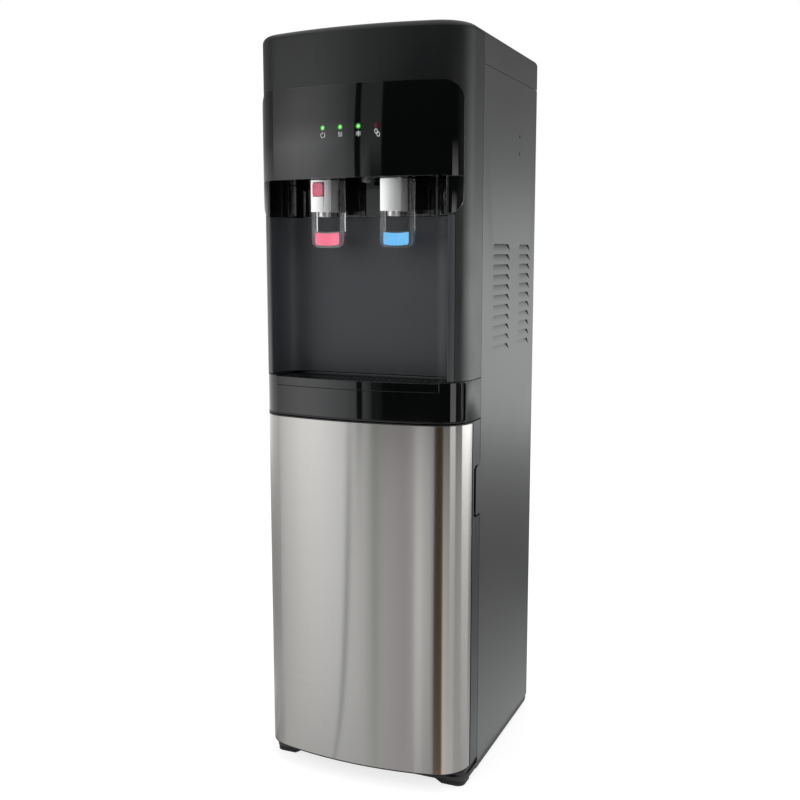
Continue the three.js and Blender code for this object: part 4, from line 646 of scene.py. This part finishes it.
LENS_WHITE = moulded("frosted_lens_plastic", (0.1, 0.105, 0.11), (0.16, 0.165, 0.17), 0.2, patches=120)
lens_bm = turned_shape([(0, 843.4), (2.6, 843.6), (5.0, 844.4), (6.6, 845.8), (7.0, 847.3), (0, 847.3)])
moved(lens_bm, (0, -119, 0))
piece("night_light_cover", lens_bm, LENS_WHITE, "white_plastic", nodes=["night_light_lens"], sharp=40)

# ---- Alcove liner
# Satin black plastic wall behind and beside the cups, turned out at the front into a narrow flange that
# closes against the front shell. Its front edges are rounded and catch the light.

ALCOVE_BLACK = moulded(
    "alcove_satin_plastic", (0.027, 0.03, 0.034), (0.032, 0.0355, 0.04), 0.4, grain=300, relief=0.012)
liner_bm = bmesh.new()
edge_vert = alcove_line(liner_bm, ALCOVE_FOOT_Z, 0)
for x in (133.5, 136.5, 139.6):
    edge_vert = draw_to(liner_bm, edge_vert, (x, front_y(x), ALCOVE_FOOT_Z))
lip = [v for v in liner_bm.verts if abs(v.co.x - ALCOVE_HALF) < 0.01 and v.co.y < -140]
rounded_corners(liner_bm, lip, 2.4, 5)
mirrored(liner_bm)
raised(liner_bm, 218.7)
face_away(liner_bm, (0, -150, 690), inwards=True)
liner_bm.normal_update()
outer = [f for f in liner_bm.faces if abs(f.calc_center_median().x) > ALCOVE_HALF + 0.2 and f.normal.y > 0]
bmesh.ops.reverse_faces(liner_bm, faces=outer)
piece("alcove_wall", liner_bm, ALCOVE_BLACK, "satin_black", nodes=["alcove_liner"], wall=2.4, edge=0.3)

# ---- Taps
# Silver-painted plastic blocks hung from the recess ceiling, their front corners well rounded, each with a
# short silver spout underneath. The hot one has a pocket for the child lock button.

SILVER = moulded(
    "silver_paint", (0.74, 0.74, 0.74), (0.82, 0.82, 0.82), 0.27, spread=0.01, grain=200, relief=0.003, patches=12,
    metallic=0.75)
TAP_Y = -145.0
TAP_HALF = 16.0
TAP_BOW = 95.0
TAP_FOOT_Z = 804.0
TAPS = (("hot", -51.5), ("cold", 51.5))


def tap_block(x):
    """Upright block with a bowed front and rounded corners, drawn from its outline seen from above."""
    bm = bmesh.new()
    turn = math.asin(TAP_HALF / TAP_BOW)
    centre = (x, TAP_Y - 14 + TAP_BOW, TAP_FOOT_Z)
    left = bm.verts.new((x - TAP_HALF, centre[1] - TAP_BOW * math.cos(turn), TAP_FOOT_Z))
    right = arc(bm, left, centre, 2 * turn, 16)
    rear_right = draw_to(bm, right, (x + TAP_HALF, TAP_Y + 14, TAP_FOOT_Z))
    rear_left = draw_to(bm, rear_right, (x - TAP_HALF, TAP_Y + 14, TAP_FOOT_Z))
    bm.edges.new((rear_left, left))
    filled(bm)
    rounded_corners(bm, [rear_left, rear_right], 2.5, 4)
    rounded_corners(bm, [left, right], 7.5, 12)
    return deepened(bm, 43.2, (0, 0, 1))


for side_name, x in TAPS:
    body = piece(side_name + "_tap_block", tap_block(x), SILVER, "silver_paint", nodes=[side_name + "_tap_body"])
    pocket = [block((-62.2, -46), (-161, -155.4), (825, 843.5))] if side_name == "hot" else []
    carved(body, pocket, edge=0.6, sharp=40)
    spout = turned_shape([(5, 797.5), (8.3, 797.5), (8.8, 798), (8.8, 804.4), (5, 804.4), (5, 797.5)], steps=40)
    moved(spout, (x, TAP_Y, 0))
    piece(side_name + "_spout", spout, SILVER, "white_plastic", nodes=[side_name + "_nozzle"], sharp=35)

# ---- Child lock button
# Pinkish red plastic button in the hot tap's face: a raised border round a dished middle. It is pressed in
# before the hot lever is pushed.

BUTTON_RED = moulded("lock_button_red", (0.58, 0.11, 0.17), (0.66, 0.15, 0.22), 0.32, patches=90, grain=700)
button_bm = rounded_plate((-61.7, -46.5), (825.4, 843.0), (3, 3, 3, 3), segments=6, y=-161.5)
deepened(button_bm, 7.4)
face = [f for f in button_bm.faces if f.normal.y < -0.9]
bmesh.ops.inset_region(button_bm, faces=face, thickness=2.0, depth=0)
bmesh.ops.inset_region(button_bm, faces=face, thickness=0.7, depth=-0.8)
piece("lock_button_cap", button_bm, BUTTON_RED, "red_plastic", body="lock_button", nodes=["child_lock_button"],
      edge=0.45, sharp=25)

# ---- Levers and pads
# Each tap has a U of clear plastic hung on two side pins, which a cup pushes backwards. A coloured pad with
# fine upright ribs fills the foot of the U.


CLEAR = moulded(
    "clear_polycarbonate", (0.96, 0.97, 0.98), (0.99, 0.99, 0.99), 0.035, spread=0.01, patches=12, grain=200,
    relief=0.004, ior=1.6)
feed(shader_of(CLEAR), {"Transmission Weight": 0.96})
PADS = {
    "hot": moulded("hot_pad_pink", (0.86, 0.17, 0.26), (0.95, 0.22, 0.32), 0.38, patches=70, grain=700),
    "cold": moulded("cold_pad_blue", (0.12, 0.48, 0.86), (0.17, 0.56, 0.94), 0.38, patches=70, grain=700),
}


def lever_loop(x):
    """U of clear plastic whose foot carries the pad; its edges sag in the middle like the pad's."""
    bm = bmesh.new()
    outline = ((-24.6, 756), (24.6, 756), (24.6, 846.2), (18.5, 846.2), (18.5, 777.6), (-18.5, 777.6),
               (-18.5, 846.2), (-24.6, 846.2))
    corners = [bm.verts.new((u, -136.5, z)) for u, z in outline]
    bm.faces.new(corners)
    rounded_corners(bm, corners[:2], 8, 8)
    for u in range(-24, 25, 3):
        cut_across(bm, u)
    for vert in bm.verts:
        if vert.co.z < 780:
            vert.co.z += 1.6 * (vert.co.x / 24.6) ** 2
    deepened(bm, 6.5)
    moved(bm, (x, 0, 0))
    for sign in (-1, 1):
        bmesh.ops.create_cone(
            bm, cap_ends=True, segments=24, radius1=2.3, radius2=2.3, depth=4.6,
            matrix=Matrix.Translation((x + sign * 17, -134, 838)) @ Matrix.Rotation(math.pi / 2, 4, "Y"))
    return bm


PAD_HALF = 18.2
PAD_RIBS = 27


def lever_pad(x):
    """Pad with a crowned face, sagging edges and ribs 1.3 mm wide."""
    bm = rounded_plate((-PAD_HALF, PAD_HALF), (759.2, 775.8), (2.4, 2.4, 1.6, 1.6), segments=5, y=-138.2)
    for i in range(1, PAD_RIBS):
        cut_across(bm, -PAD_HALF + 2 * PAD_HALF * i / PAD_RIBS)
    deepened(bm, 3.4)
    bm.normal_update()
    front = [f for f in bm.faces if f.normal.y < -0.9]
    grooves = [
        f for f in front
        if int((f.calc_center_median().x + PAD_HALF) / (2 * PAD_HALF / PAD_RIBS)) % 2
        and abs(f.calc_center_median().x) < 16.5]
    bmesh.ops.inset_individual(bm, faces=grooves, thickness=0.12, depth=-0.3)
    for vert in bm.verts:
        vert.co.z += 1.5 * (vert.co.x / PAD_HALF) ** 2 - 0.2
    moved(bm, (x, 0, 0))
    return bm


for side_name, x in TAPS:
    arm = side_name + "_lever_arm"
    piece(side_name + "_lever_loop", lever_loop(x), CLEAR, "clear_plastic", body=arm,
          nodes=[side_name + "_lever"], edge=0.9, sharp=45)
    piece(side_name + "_lever_pad", lever_pad(x), PADS[side_name], "red_plastic" if x < 0 else "blue_plastic",
          body=arm, nodes=[side_name + "_pad"], sharp=40)

# ---- Apron
# Satin black frame below the alcove, with a high-gloss black panel let into its front and notched round
# the drip tray.


def from_node(name):
    """A CAD solid's faces, merged and cleaned, to finish further."""
    bm = bmesh.new()
    bm.from_mesh(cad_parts[name].data)
    merged(bm, 0.00002)
    bmesh.ops.dissolve_limit(bm, angle_limit=math.radians(0.5), verts=bm.verts[:], edges=bm.edges[:])
    bmesh.ops.scale(bm, vec=(1000, 1000, 1000), verts=bm.verts[:])
    return bm


def dressed(name, node, finish, slot, **how):
    """A new piece with a CAD solid's own shape, its edges rounded."""
    how.setdefault("sharp", 28)
    return piece(name, from_node(node), finish, slot, nodes=[node], **how)


dressed("apron_body", "apron_frame", SATIN_BLACK, "satin_black", edge=0.3, steps=2)
apron_bm = bmesh.new()
apron_points = ((-147, 525.6), (147, 525.6), (147, 578.1), (122.8, 578.1), (122.8, 565.1), (-122.8, 565.1),
                (-122.8, 578.1), (-147, 578.1))
apron_verts = [apron_bm.verts.new((x, 0, z)) for x, z in apron_points]
apron_bm.faces.new(apron_verts)
rounded_corners(apron_bm, [apron_verts[i] for i in (0, 1, 2, 7)], 3, 5)
piece("apron_face", laid_on_front(apron_bm), GLOSS_BLACK, "gloss_black", nodes=["apron_panel"], wall=2, edge=0.45)

# ---- Drip tray and grille
# Gloss black tray that slides out forwards, its lip following the bow. A black slotted grille lies on the
# ledges inside it and lifts out.

TRAY_PROUD = 0.6
TRAY_FOOT_Z = 565.5
tray_bm = bmesh.new()
middle = tray_bm.verts.new((0, FRONT_Y - TRAY_PROUD, TRAY_FOOT_Z))
tray_corner = arc(tray_bm, middle, (0, BOW_CENTRE_Y, TRAY_FOOT_Z), BOW_TURN, 14)
for x in (119, 122.4):
    tray_corner = draw_to(tray_bm, tray_corner, (x, front_y(x, TRAY_PROUD), TRAY_FOOT_Z))
draw_to(tray_bm, draw_to(tray_bm, tray_corner, (122.4, -102, TRAY_FOOT_Z)), (0, -102, TRAY_FOOT_Z))
mirrored(tray_bm)
filled(tray_bm)
deepened(tray_bm, 12.1, (0, 0, 1))
tray_top = [f for f in tray_bm.faces if f.normal.z > 0.9]
bmesh.ops.inset_region(tray_bm, faces=tray_top, thickness=3.0, depth=0, use_even_offset=True)
basin = bmesh.ops.extrude_face_region(tray_bm, geom=tray_top)
moved(tray_bm, (0, 0, -9.6), new_verts(basin))
bmesh.ops.delete(tray_bm, geom=tray_top, context="FACES")
outwards(tray_bm)
piece("tray_basin", tray_bm, GLOSS_BLACK, "gloss_black", body="tray", nodes=["drip_tray"], edge=0.5)

GRILLE_BLACK = moulded(
    "grille_plastic", (0.004, 0.0045, 0.0045), (0.006, 0.0065, 0.0065), 0.2, spread=0.04, grain=300, relief=0.01,
    patches=40)
dressed(
    "tray_grille", "drip_grille", GRILLE_BLACK, "base_black", body="grille", edge=0.45, steps=2, sharp=30)

# ---- Door
# Brushed stainless sheet wrapped over the bow and round both corners, held by a satin black plastic frame
# with a finger slot in its right side; a black dished liner and a magnet strip close the rear.


def brushed(name, shade, pale, roughness, lines):
    """Steel brushed level: fine lines that run across, highlights drawn out upright, faint clouds of tone."""
    material, tree, shader = blank_material(name)
    tangent = add_node(tree, "Tangent", direction_type="RADIAL", axis="Z")
    place = add_node(tree, "TexCoord").outputs["Object"]
    stretch = add_node(tree, "Mapping", {"Vector": place, "Scale": (9, 9, lines)})
    streaks = add_node(tree, "TexNoise", {
        "Vector": stretch.outputs["Vector"], "Scale": 1, "Detail": 5, "Roughness": 0.65}).outputs["Fac"]
    cloud = add_node(tree, "TexNoise", {"Vector": place, "Scale": 5})
    both = add_node(tree, "Mix", {"Factor": 0.35, "A": streaks, "B": cloud.outputs["Fac"]})
    feed(shader, {
        "Metallic": 1.0, "Anisotropic": 0.97, "Anisotropic Rotation": 0.25, "Tangent": tangent.outputs["Tangent"],
        "Base Color": shades(tree, both.outputs["Result"], (0.32, shade), (0.68, pale)),
        "Roughness": wander(tree, streaks, roughness, 0.015), "Normal": bumps(tree, streaks, 0.008, 0.0005)})
    return material


BRUSHED_STEEL = brushed("brushed_stainless", (0.445, 0.435, 0.42), (0.475, 0.465, 0.45), 0.185, 2200)
SKIN_END_Y = -116.5
skin_bm = bmesh.new()
outline_half(skin_bm, 28.1, math.acos((SKIN_END_Y - CORNER_Y) / -CORNER_RADIUS) - BOW_TURN)
mirrored(skin_bm)
raised(skin_bm, 492.3)
face_away(skin_bm, (0, -60, 274))
piece("door_sheet", skin_bm, BRUSHED_STEEL, "stainless", body="door", nodes=["door_skin"], wall=0.9, edge=0.3)
# Grooves between the frame and the steel's side edges; the near-black strips set in them below are painted shade for
# the dark gap.
GAP_GROOVE = (-116.4, -113.4)
door_surround = dressed("door_surround", "door_frame", SATIN_BLACK, "satin_black", body="door")
carved(door_surround, [
    block((150.8, 156), GAP_GROOVE, (27.6, 520.9)),
    block((-156, -150.8), GAP_GROOVE, (27.6, 520.9)),
    block((148, 156), (-108.5, -103.8), (388, 456)),
], edge=0.3, sharp=28)

# Near-black strips with almost no shine fill the grooves as painted shade: they darken the gap beside the steel.
PAINTED_GAP_SHADE = moulded("painted_gap_shade", (0.002, 0.002, 0.002), (0.003, 0.003, 0.003), 0.8, relief=0.1, patches=80)
feed(shader_of(PAINTED_GAP_SHADE), {"Specular IOR Level": 0.1})
for name, x in (("right", (150.9, 154.4)), ("left", (-154.4, -150.9))):
    piece(name + "_door_gap_shade", block(x, (-116.3, -113.5), (27.9, 520.6)), PAINTED_GAP_SHADE, "rubber_black", body="door",
          edge=0.3)

LINER_BLACK = moulded("liner_black_plastic", (0.014, 0.014, 0.015), (0.019, 0.019, 0.02), 0.5, grain=800, relief=0.12)
dressed("door_dish", "door_liner", LINER_BLACK, "base_black", body="door", edge=1.2)
RUBBER = moulded("black_rubber", (0.012, 0.012, 0.012), (0.02, 0.02, 0.0195), 0.68, grain=600, relief=0.15)


def refinished(finish, *nodes):
    """Gives CAD solids that keep their shape their real finish."""
    for node in nodes:
        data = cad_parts[node].data
        data.materials.clear()
        data.materials.append(finish)


refinished(RUBBER, "door_magnet")

# ---- Base and feet
# Black plastic base tray under the steel cabinet, on two slanted toe feet at the front and two round feet at
# the rear, all of black rubber.

BASE_BLACK = moulded("base_black_plastic", (0.013, 0.013, 0.014), (0.018, 0.018, 0.019), 0.46, relief=0.1)
dressed("base_slab", "base_tray", BASE_BLACK, "base_black", edge=1.2)
rim_bm = bmesh.new()
rim_points = ((-154.6, -136), (154.6, -136), (154.6, 173), (-154.6, 173))
rim_corners = [rim_bm.verts.new((x, y, 9.5)) for x, y in rim_points]
rim_bm.faces.new(rim_corners)
rounded_corners(rim_bm, rim_corners[:2], 26, 10)
piece("base_rim", deepened(rim_bm, 7, (0, 0, 1)), BASE_BLACK, "base_black", edge=1.4)
for node in ("foot_front_left", "foot_front_right", "foot_rear_left", "foot_rear_right"):
    dressed(node + "_pad", node, RUBBER, "rubber_black", edge=0.7)

# ---- Inside and rear
# Parts that show only with the door open or from behind: zinc-plated sheets and brackets, the black bottle
# compartment, white probe, hoses, pump, tanks, copper coil, compressor, condenser, board and switches.

ZINC = moulded(
    "zinc_plated_steel", (0.4, 0.41, 0.42), (0.46, 0.47, 0.48), 0.4, spread=0.03, grain=300, relief=0.02, patches=110,
    metallic=0.9)
WHITE_PLASTIC = moulded("white_plastic", (0.68, 0.69, 0.69), (0.76, 0.77, 0.77), 0.35, patches=25)
SILICONE = moulded("milky_silicone", (0.62, 0.65, 0.66), (0.72, 0.75, 0.76), 0.4, patches=60)
TANK_STEEL = brushed("tank_stainless", (0.5, 0.49, 0.48), (0.62, 0.61, 0.6), 0.3, 300)
COPPER = moulded("copper_tube", (0.42, 0.14, 0.05), (0.56, 0.22, 0.1), 0.3, spread=0.08, patches=60, metallic=1.0)
BLACK_STEEL = moulded("black_enamelled_steel", (0.009, 0.01, 0.011), (0.015, 0.016, 0.017), 0.42, patches=20)
BOARD_GREEN = moulded("circuit_board", (0.01, 0.08, 0.03), (0.02, 0.13, 0.05), 0.4, patches=150)
SWITCH_RED = moulded("red_switch_plastic", (0.32, 0.015, 0.012), (0.4, 0.025, 0.02), 0.3, patches=90)
SWITCH_GREEN = moulded("green_switch_plastic", (0.01, 0.13, 0.05), (0.018, 0.18, 0.07), 0.3, patches=90)

refinished(
    ZINC, "rear_panel", "lower_hinge_bracket", "upper_hinge_pin", "catch_plate", "divider_shelf", "tank_shelf")
refinished(BASE_BLACK, "power_gland", "water_pump", "switch_plate", "night_light_switch")
refinished(SILICONE, "suction_hose", "delivery_hose", "hot_hose", "cold_hose")
refinished(TANK_STEEL, "hot_tank", "cold_tank")
refinished(BLACK_STEEL, "compressor", "condenser")
refinished(COPPER, "evaporator_coil")
refinished(BOARD_GREEN, "indicator_board")
refinished(SWITCH_RED, "heating_switch")
refinished(SWITCH_GREEN, "cooling_switch")
dressed("compartment_tub", "compartment_liner", LINER_BLACK, "base_black", edge=0.6, steps=2)
dressed("probe_and_collar", "bottle_probe", WHITE_PLASTIC, "white_plastic", body="probe", edge=0.6, steps=2)
dressed("drain_cap", "drain_plug", WHITE_PLASTIC, "white_plastic", edge=0.5, steps=2)

# ---- Screws
# Small dark cross-head screws: two in each side panel near the top, and a row round the rear panel.

REAR_SCREW_ROWS = ((161, 985), (161, 780), (161, 570), (175, 500), (175, 280), (175, 40))
SCREW_BLACK = moulded("blackened_screw", (0.008, 0.008, 0.008), (0.014, 0.014, 0.014), 0.35, metallic=0.6, patches=300)


def screw(name, place, axis, finish, slot, radius=2.4):
    """Domed head with a crossed slot, looking along an axis."""
    bm = turned_shape([(0, -0.6), (radius, -0.6), (radius, 0.2), (radius * 0.8, 0.7), (0, 0.95)], steps=24)
    obj = piece(name, bm, finish, slot)
    slots = [block((-radius * 0.6, radius * 0.6), (-0.3, 0.3), (0.35, 2)),
             block((-0.3, 0.3), (-radius * 0.6, radius * 0.6), (0.35, 2))]
    carved(obj, slots, sharp=35)
    turn = Vector((0, 0, 1)).rotation_difference(Vector(axis)).to_matrix().to_4x4()
    obj.data.transform(Matrix.Translation(Vector(place) / 1000) @ turn)


for sign, side_name in ((1, "right"), (-1, "left")):
    for i, z in enumerate(SIDE_SCREW_ZS):
        screw(f"{side_name}_side_screw_{i + 1}", (sign * 154.0, SIDE_SCREW_Y, z), (sign, 0, 0), SCREW_BLACK,
              "black_steel", 1.9)
for i, place in enumerate([(x, y, z) for y, z in REAR_SCREW_ROWS for x in (-140, 140)]):
    screw(f"rear_screw_{i + 1}", place, (0, 1, 0), ZINC, "zinc_steel", 3.2)

# ---- Floor, light and camera
# Pale floor and white surround, a broad soft lamp from the front left with two weaker ones, and a ring of
# bright and dark strips that only reflections see, along the floor and up a wall, as in a small studio.


floor_material, floor_tree, floor_shader = blank_material("pale_floor")
feed(floor_shader, {"Base Color": (0.86, 0.86, 0.86, 1), "Roughness": 0.85, "Specular IOR Level": 0.1})
# The camera sees nearly plain white, with the lit surface showing through for its shadows.
camera_share = add_node(
    floor_tree, "Math", {0: add_node(floor_tree, "LightPath").outputs["Is Camera Ray"], 1: 0.62}, operation="MULTIPLY")
floor_white = add_node(floor_tree, "Emission", {"Strength": 1.25})
floor_mix = add_node(floor_tree, "MixShader", {
    "Fac": camera_share.outputs["Value"], 1: floor_shader.outputs["BSDF"], 2: floor_white.outputs["Emission"]})
feed(floor_tree.nodes["Material Output"], {"Surface": floor_mix.outputs["Shader"]})
floor_bm = bmesh.new()
bmesh.ops.create_grid(floor_bm, x_segments=1, y_segments=1, size=30)
placed("floor", floor_bm, floor_material)

CAMERA_PLACE = Vector((0.60514, -1.43702, 0.74841))
WALL_AWAY = 3.0
BLACK = ((0, 0), (0, 0), (0, 0))
COOL = (0.985, 1.0, 1.015)
FLOOR_LIFT = 0.004


def bounce(facing):
    """Where the outline faces this many degrees to the right, and the bearing the camera's view leaves it in."""
    turn = math.radians(facing)
    side = math.copysign(1, facing)
    if abs(turn) <= BOW_TURN:
        x, y = BOW_RADIUS * math.sin(turn), BOW_CENTRE_Y - BOW_RADIUS * math.cos(turn)
    else:
        x, y = side * CORNER_X + CORNER_RADIUS * math.sin(turn), CORNER_Y - CORNER_RADIUS * math.cos(turn)
    incoming = math.atan2(x / 1000 - CAMERA_PLACE.x, CAMERA_PLACE.y - y / 1000)
    return x / 1000, y / 1000, math.degrees(2 * turn - incoming) + 180


def heading(bearing):
    return Vector((math.sin(math.radians(bearing)), -math.cos(math.radians(bearing)), 0))


def band(name, rays, floor, wall, tint=(1, 1, 1)):
    """Glowing strip that only reflections see, out along the floor between two rays and up a wall.

    floor gives the glow at the object, midway and at the wall's foot, wall the glow low, at mid height and at
    the top; each is a pair for the two rays."""
    bm = bmesh.new()
    glow = bm.verts.layers.float.new("glow")
    columns = []
    for end, (x, y, bearing) in enumerate(rays):
        near, midway, foot = (pair[end] for pair in floor)
        low, middle, high = (pair[end] for pair in wall)
        rows = (
            (0.02, FLOOR_LIFT, near), (0.3, FLOOR_LIFT, (near + midway) / 2), (0.8, FLOOR_LIFT, midway),
            (1.4, FLOOR_LIFT, midway), (WALL_AWAY, FLOOR_LIFT, foot), (WALL_AWAY, FLOOR_LIFT, low),
            (WALL_AWAY, 0.6, low), (WALL_AWAY, 1.1, middle), (WALL_AWAY, 1.4, (middle + high) / 2),
            (WALL_AWAY, 3.2, high))
        column = []
        for away, z, level in rows:
            vert = bm.verts.new(Vector((x, y, z)) + heading(bearing) * away)
            vert[glow] = level
            column.append(vert)
        columns.append(column)
    # No face between the floor's last vertices and the wall's first: they stand in the same place.
    for i in range(len(columns[0]) - 1):
        if i != 4:
            bm.faces.new((columns[0][i], columns[1][i], columns[1][i + 1], columns[0][i + 1]))
    material, tree, shader = blank_material(name)
    tree.nodes.remove(shader)
    level = add_node(tree, "Attribute", attribute_name="glow").outputs["Fac"]
    light = add_node(tree, "Emission", {"Color": (*tint, 1), "Strength": level})
    feed(tree.nodes["Material Output"], {"Surface": light.outputs["Emission"]})
    set_all(
        placed(name, bm, material), visible_camera=False, visible_diffuse=False, visible_shadow=False,
        visible_volume_scatter=False)


def front_band(name, facing, *levels, lean=(0, 0), **tint):
    """Band mirrored between two places of the front; lean moves its near ends along the outline."""
    rays = []
    for angle, shift in zip(facing, lean):
        x, y, bearing = bounce(angle)
        far = Vector((x, y, 0)) + heading(bearing) * WALL_AWAY
        near_x, near_y, _ = bounce(angle + shift)
        rays.append((near_x, near_y, math.degrees(math.atan2(far.x - near_x, near_y - far.y))))
    band(name, rays, *levels, **tint)


front_band("far_left", (-50, -30), ((0.3, 0.5), (0.3, 0.5), (0.4, 0.6)), ((0.3, 0.5), (0.4, 0.5), (0.15, 0.2)))
front_band("left_end", (-30, -13), ((0.5, 0.7), (0.5, 0.75), (0.5, 1.0)), ((0.5, 1.0), (0.5, 1.3), (0.2, 0.3)))
front_band(
    "left_rise", (-13, -8.5), ((0.7, 0.72), (0.75, 1.05), (1.0, 1.55)), ((1.0, 1.5), (1.3, 1.95), (0.3, 0.45)))
front_band(
    "left_bright", (-8.5, -5.5), ((0.72, 0.72), (1.05, 1.1), (1.55, 1.6)), ((1.5, 1.45), (1.95, 1.85), (0.45, 0.45)),
    lean=(0, -1.8))
front_band(
    "left_fall", (-5.5, -0.75), ((0.72, 0.72), (1.1, 1.05), (1.6, 1.4)), ((1.45, 0.95), (1.85, 0.95), (0.45, 0.35)),
    lean=(-1.8, -3.7), tint=COOL)
front_band(
    "floor_streak", (-0.75, 0.0), ((0.6, 0.6), (0.3, 0.35), (0.35, 0.45)), ((0.95, 0.8), (0.95, 0.7), (0.35, 0.3)),
    lean=(-3.7, -3.7), tint=COOL)
front_band(
    "left_dim", (0.0, 0.9), ((0.72, 0.68), (0.98, 0.92), (1.35, 1.25)), ((0.8, 0.75), (0.7, 0.6), (0.3, 0.3)),
    lean=(-3.7, 0), tint=COOL)
front_band("dark_fold", (0.9, 1.8), ((0.68, 0.67), (0.92, 0.82), (1.25, 1.0)), BLACK)
front_band(
    "green_strip", (1.8, 3.2), ((0.67, 0.62), (0.82, 0.62), (1.0, 0.7)), ((0.75, 0.3), (0.4, 0.4), (0.25, 0.22)),
    tint=(0.965, 1.0, 0.985))
front_band(
    "floor_fold", (3.2, 4.1), ((0.58, 0.58), (0.45, 0.5), (0.65, 0.75)), ((0.1, 0.1), (0.4, 0.4), (0.22, 0.22)))
front_band(
    "strip_end", (4.1, 4.9), ((0.6, 0.6), (0.62, 0.7), (0.95, 1.1)), ((0.1, 0.05), (0.4, 0.4), (0.22, 0.2)),
    tint=(0.965, 1.0, 0.985))
front_band("black_left", (4.9, 8.2), ((0.6, 0.56), (0.7, 0.55), (1.1, 1.1)), BLACK, tint=(1.0, 0.97, 0.99))
front_band("black_middle", (8.2, 9.6), ((0.56, 0.58), (0.55, 0.62), (1.1, 1.5)), BLACK, tint=(1.0, 0.97, 0.99))
front_band("black_streak", (9.6, 10.8), ((0.68, 0.66), (1.15, 1.1), (1.9, 1.8)), BLACK)
front_band("black_right", (10.8, 12.6), ((0.58, 0.5), (0.85, 0.75), (1.6, 1.4)), BLACK)
front_band("black_end", (12.6, 14.5), ((0.4, 0.22), (0.5, 0.1), (1.4, 1.0)), BLACK)
front_band(
    "brown_left", (14.5, 19.5), ((0.22, 0.2), (0.1, 0.1), (0.8, 0.2)), BLACK, tint=(1.0, 0.8, 0.6))
front_band(
    "brown_right", (19.5, 26), ((0.2, 0.26), (0.1, 0.16), (0.18, 0.18)), BLACK, tint=(1.0, 0.7, 0.44))
front_band("brown_glow", (26, 28), ((0.3, 0.85), (0.2, 0.75), (0.1, 0.1)), BLACK, tint=(1.0, 0.86, 0.7))
front_band("corner_glow", (28, 38), ((0.95, 0.8), (0.85, 0.7), (0.06, 0.2)), BLACK, tint=(1.0, 0.95, 0.88))
front_band("corner_bright", (38, 47), ((0.8, 0.65), (0.7, 0.6), (0.8, 0.8)), ((1.6, 1.6), (0.0, 0.0), (0.0, 0.0)))
front_band(
    "corner_dim", (47, 59), ((0.6, 0.55), (0.55, 0.65), (0.6, 0.8)), ((0.06, 0.1), (0.03, 0.2), (0.02, 0.03)))
front_band(
    "right_window", (59, 76), ((0.55, 0.6), (0.7, 0.75), (0.6, 0.6)), ((3.4, 4.0), (1.3, 2.2), (0.06, 0.08)))
RIGHT_FRONT = bounce(76)
RIGHT_SIDE = (0.158, -0.08, 150)
RIGHT_REAR = (0.158, 0.2, 172)
LEFT_REAR = (-0.158, 0.2, 215)
LEFT_SIDE = (-0.158, -0.1, 300)
band(
    "right_turn", (RIGHT_FRONT, RIGHT_SIDE), ((0.6, 0.9), (0.4, 0.2), (0.6, 0.6)),
    ((4.0, 2.0), (2.2, 0.5), (0.08, 0.08)), tint=(0.96, 1.0, 1.0))
band(
    "right_far", (RIGHT_SIDE, RIGHT_REAR), ((0.9, 0.9), (0.2, 0.25), (0.6, 0.7)),
    ((2.0, 1.0), (0.5, 0.35), (0.08, 0.08)), tint=(0.97, 1.0, 1.0))
band("behind", (RIGHT_REAR, LEFT_REAR), ((0.9, 0.9), (0.25, 0.4), (0.7, 0.7)), ((1.0, 1.2), (0.35, 0.4), (0.1, 0.2)))
band("left_far", (LEFT_REAR, LEFT_SIDE), ((0.9, 0.9), (0.4, 0.4), (0.7, 0.6)), ((1.4, 0.9), (0.4, 0.4), (0.2, 0.2)))

world = bpy.data.worlds.new("studio")
world.use_nodes = True
bpy.context.scene.world = world
tree = world.node_tree
seen = add_node(tree, "LightPath").outputs
clear_seen = add_node(
    tree, "Math", {0: seen["Is Glossy Ray"], 1: seen["Is Transmission Ray"]}, operation="ADD", use_clamp=True)
any_seen = add_node(
    tree, "Math", {0: seen["Is Camera Ray"], 1: clear_seen.outputs["Value"]}, operation="ADD", use_clamp=True)
level = add_node(tree, "MapRange", {"Value": any_seen.outputs["Value"], "To Min": 0.7, "To Max": 1.0})
feed(tree.nodes["Background"], {"Color": (1, 1, 1, 1), "Strength": level.outputs["Result"]})


def soft_lamp(name, place, aim, size, power):
    data = set_all(bpy.data.lights.new(name, "AREA"), shape="SQUARE", size=size, energy=power)
    lamp = bpy.data.objects.new(name, data)
    lamp.location = place
    lamp.rotation_euler = (Vector(aim) - Vector(place)).to_track_quat("-Z", "Y").to_euler()
    lamp.visible_glossy = False
    bpy.context.scene.collection.objects.link(lamp)


soft_lamp("front_left_lamp", (-1.8, -2.4, 2.2), (0, 0, 0.5), 1.8, 38)
soft_lamp("right_lamp", (2.4, -1.2, 1.6), (0, 0, 0.5), 1.4, 16)
soft_lamp("overhead_lamp", (0.2, 0.2, 3.0), (0, 0, 0.4), 2.0, 24)

camera_data = set_all(bpy.data.cameras.new("camera"), sensor_width=36, sensor_fit="HORIZONTAL", lens=46.8266)
camera = bpy.data.objects.new("camera", camera_data)
camera.location = CAMERA_PLACE
camera.rotation_euler = (math.pi / 2 - 0.1399, 0, 0.3991)
bpy.context.scene.collection.objects.link(camera)
bpy.context.scene.camera = camera
bpy.context.scene.view_settings.view_transform = "Standard"
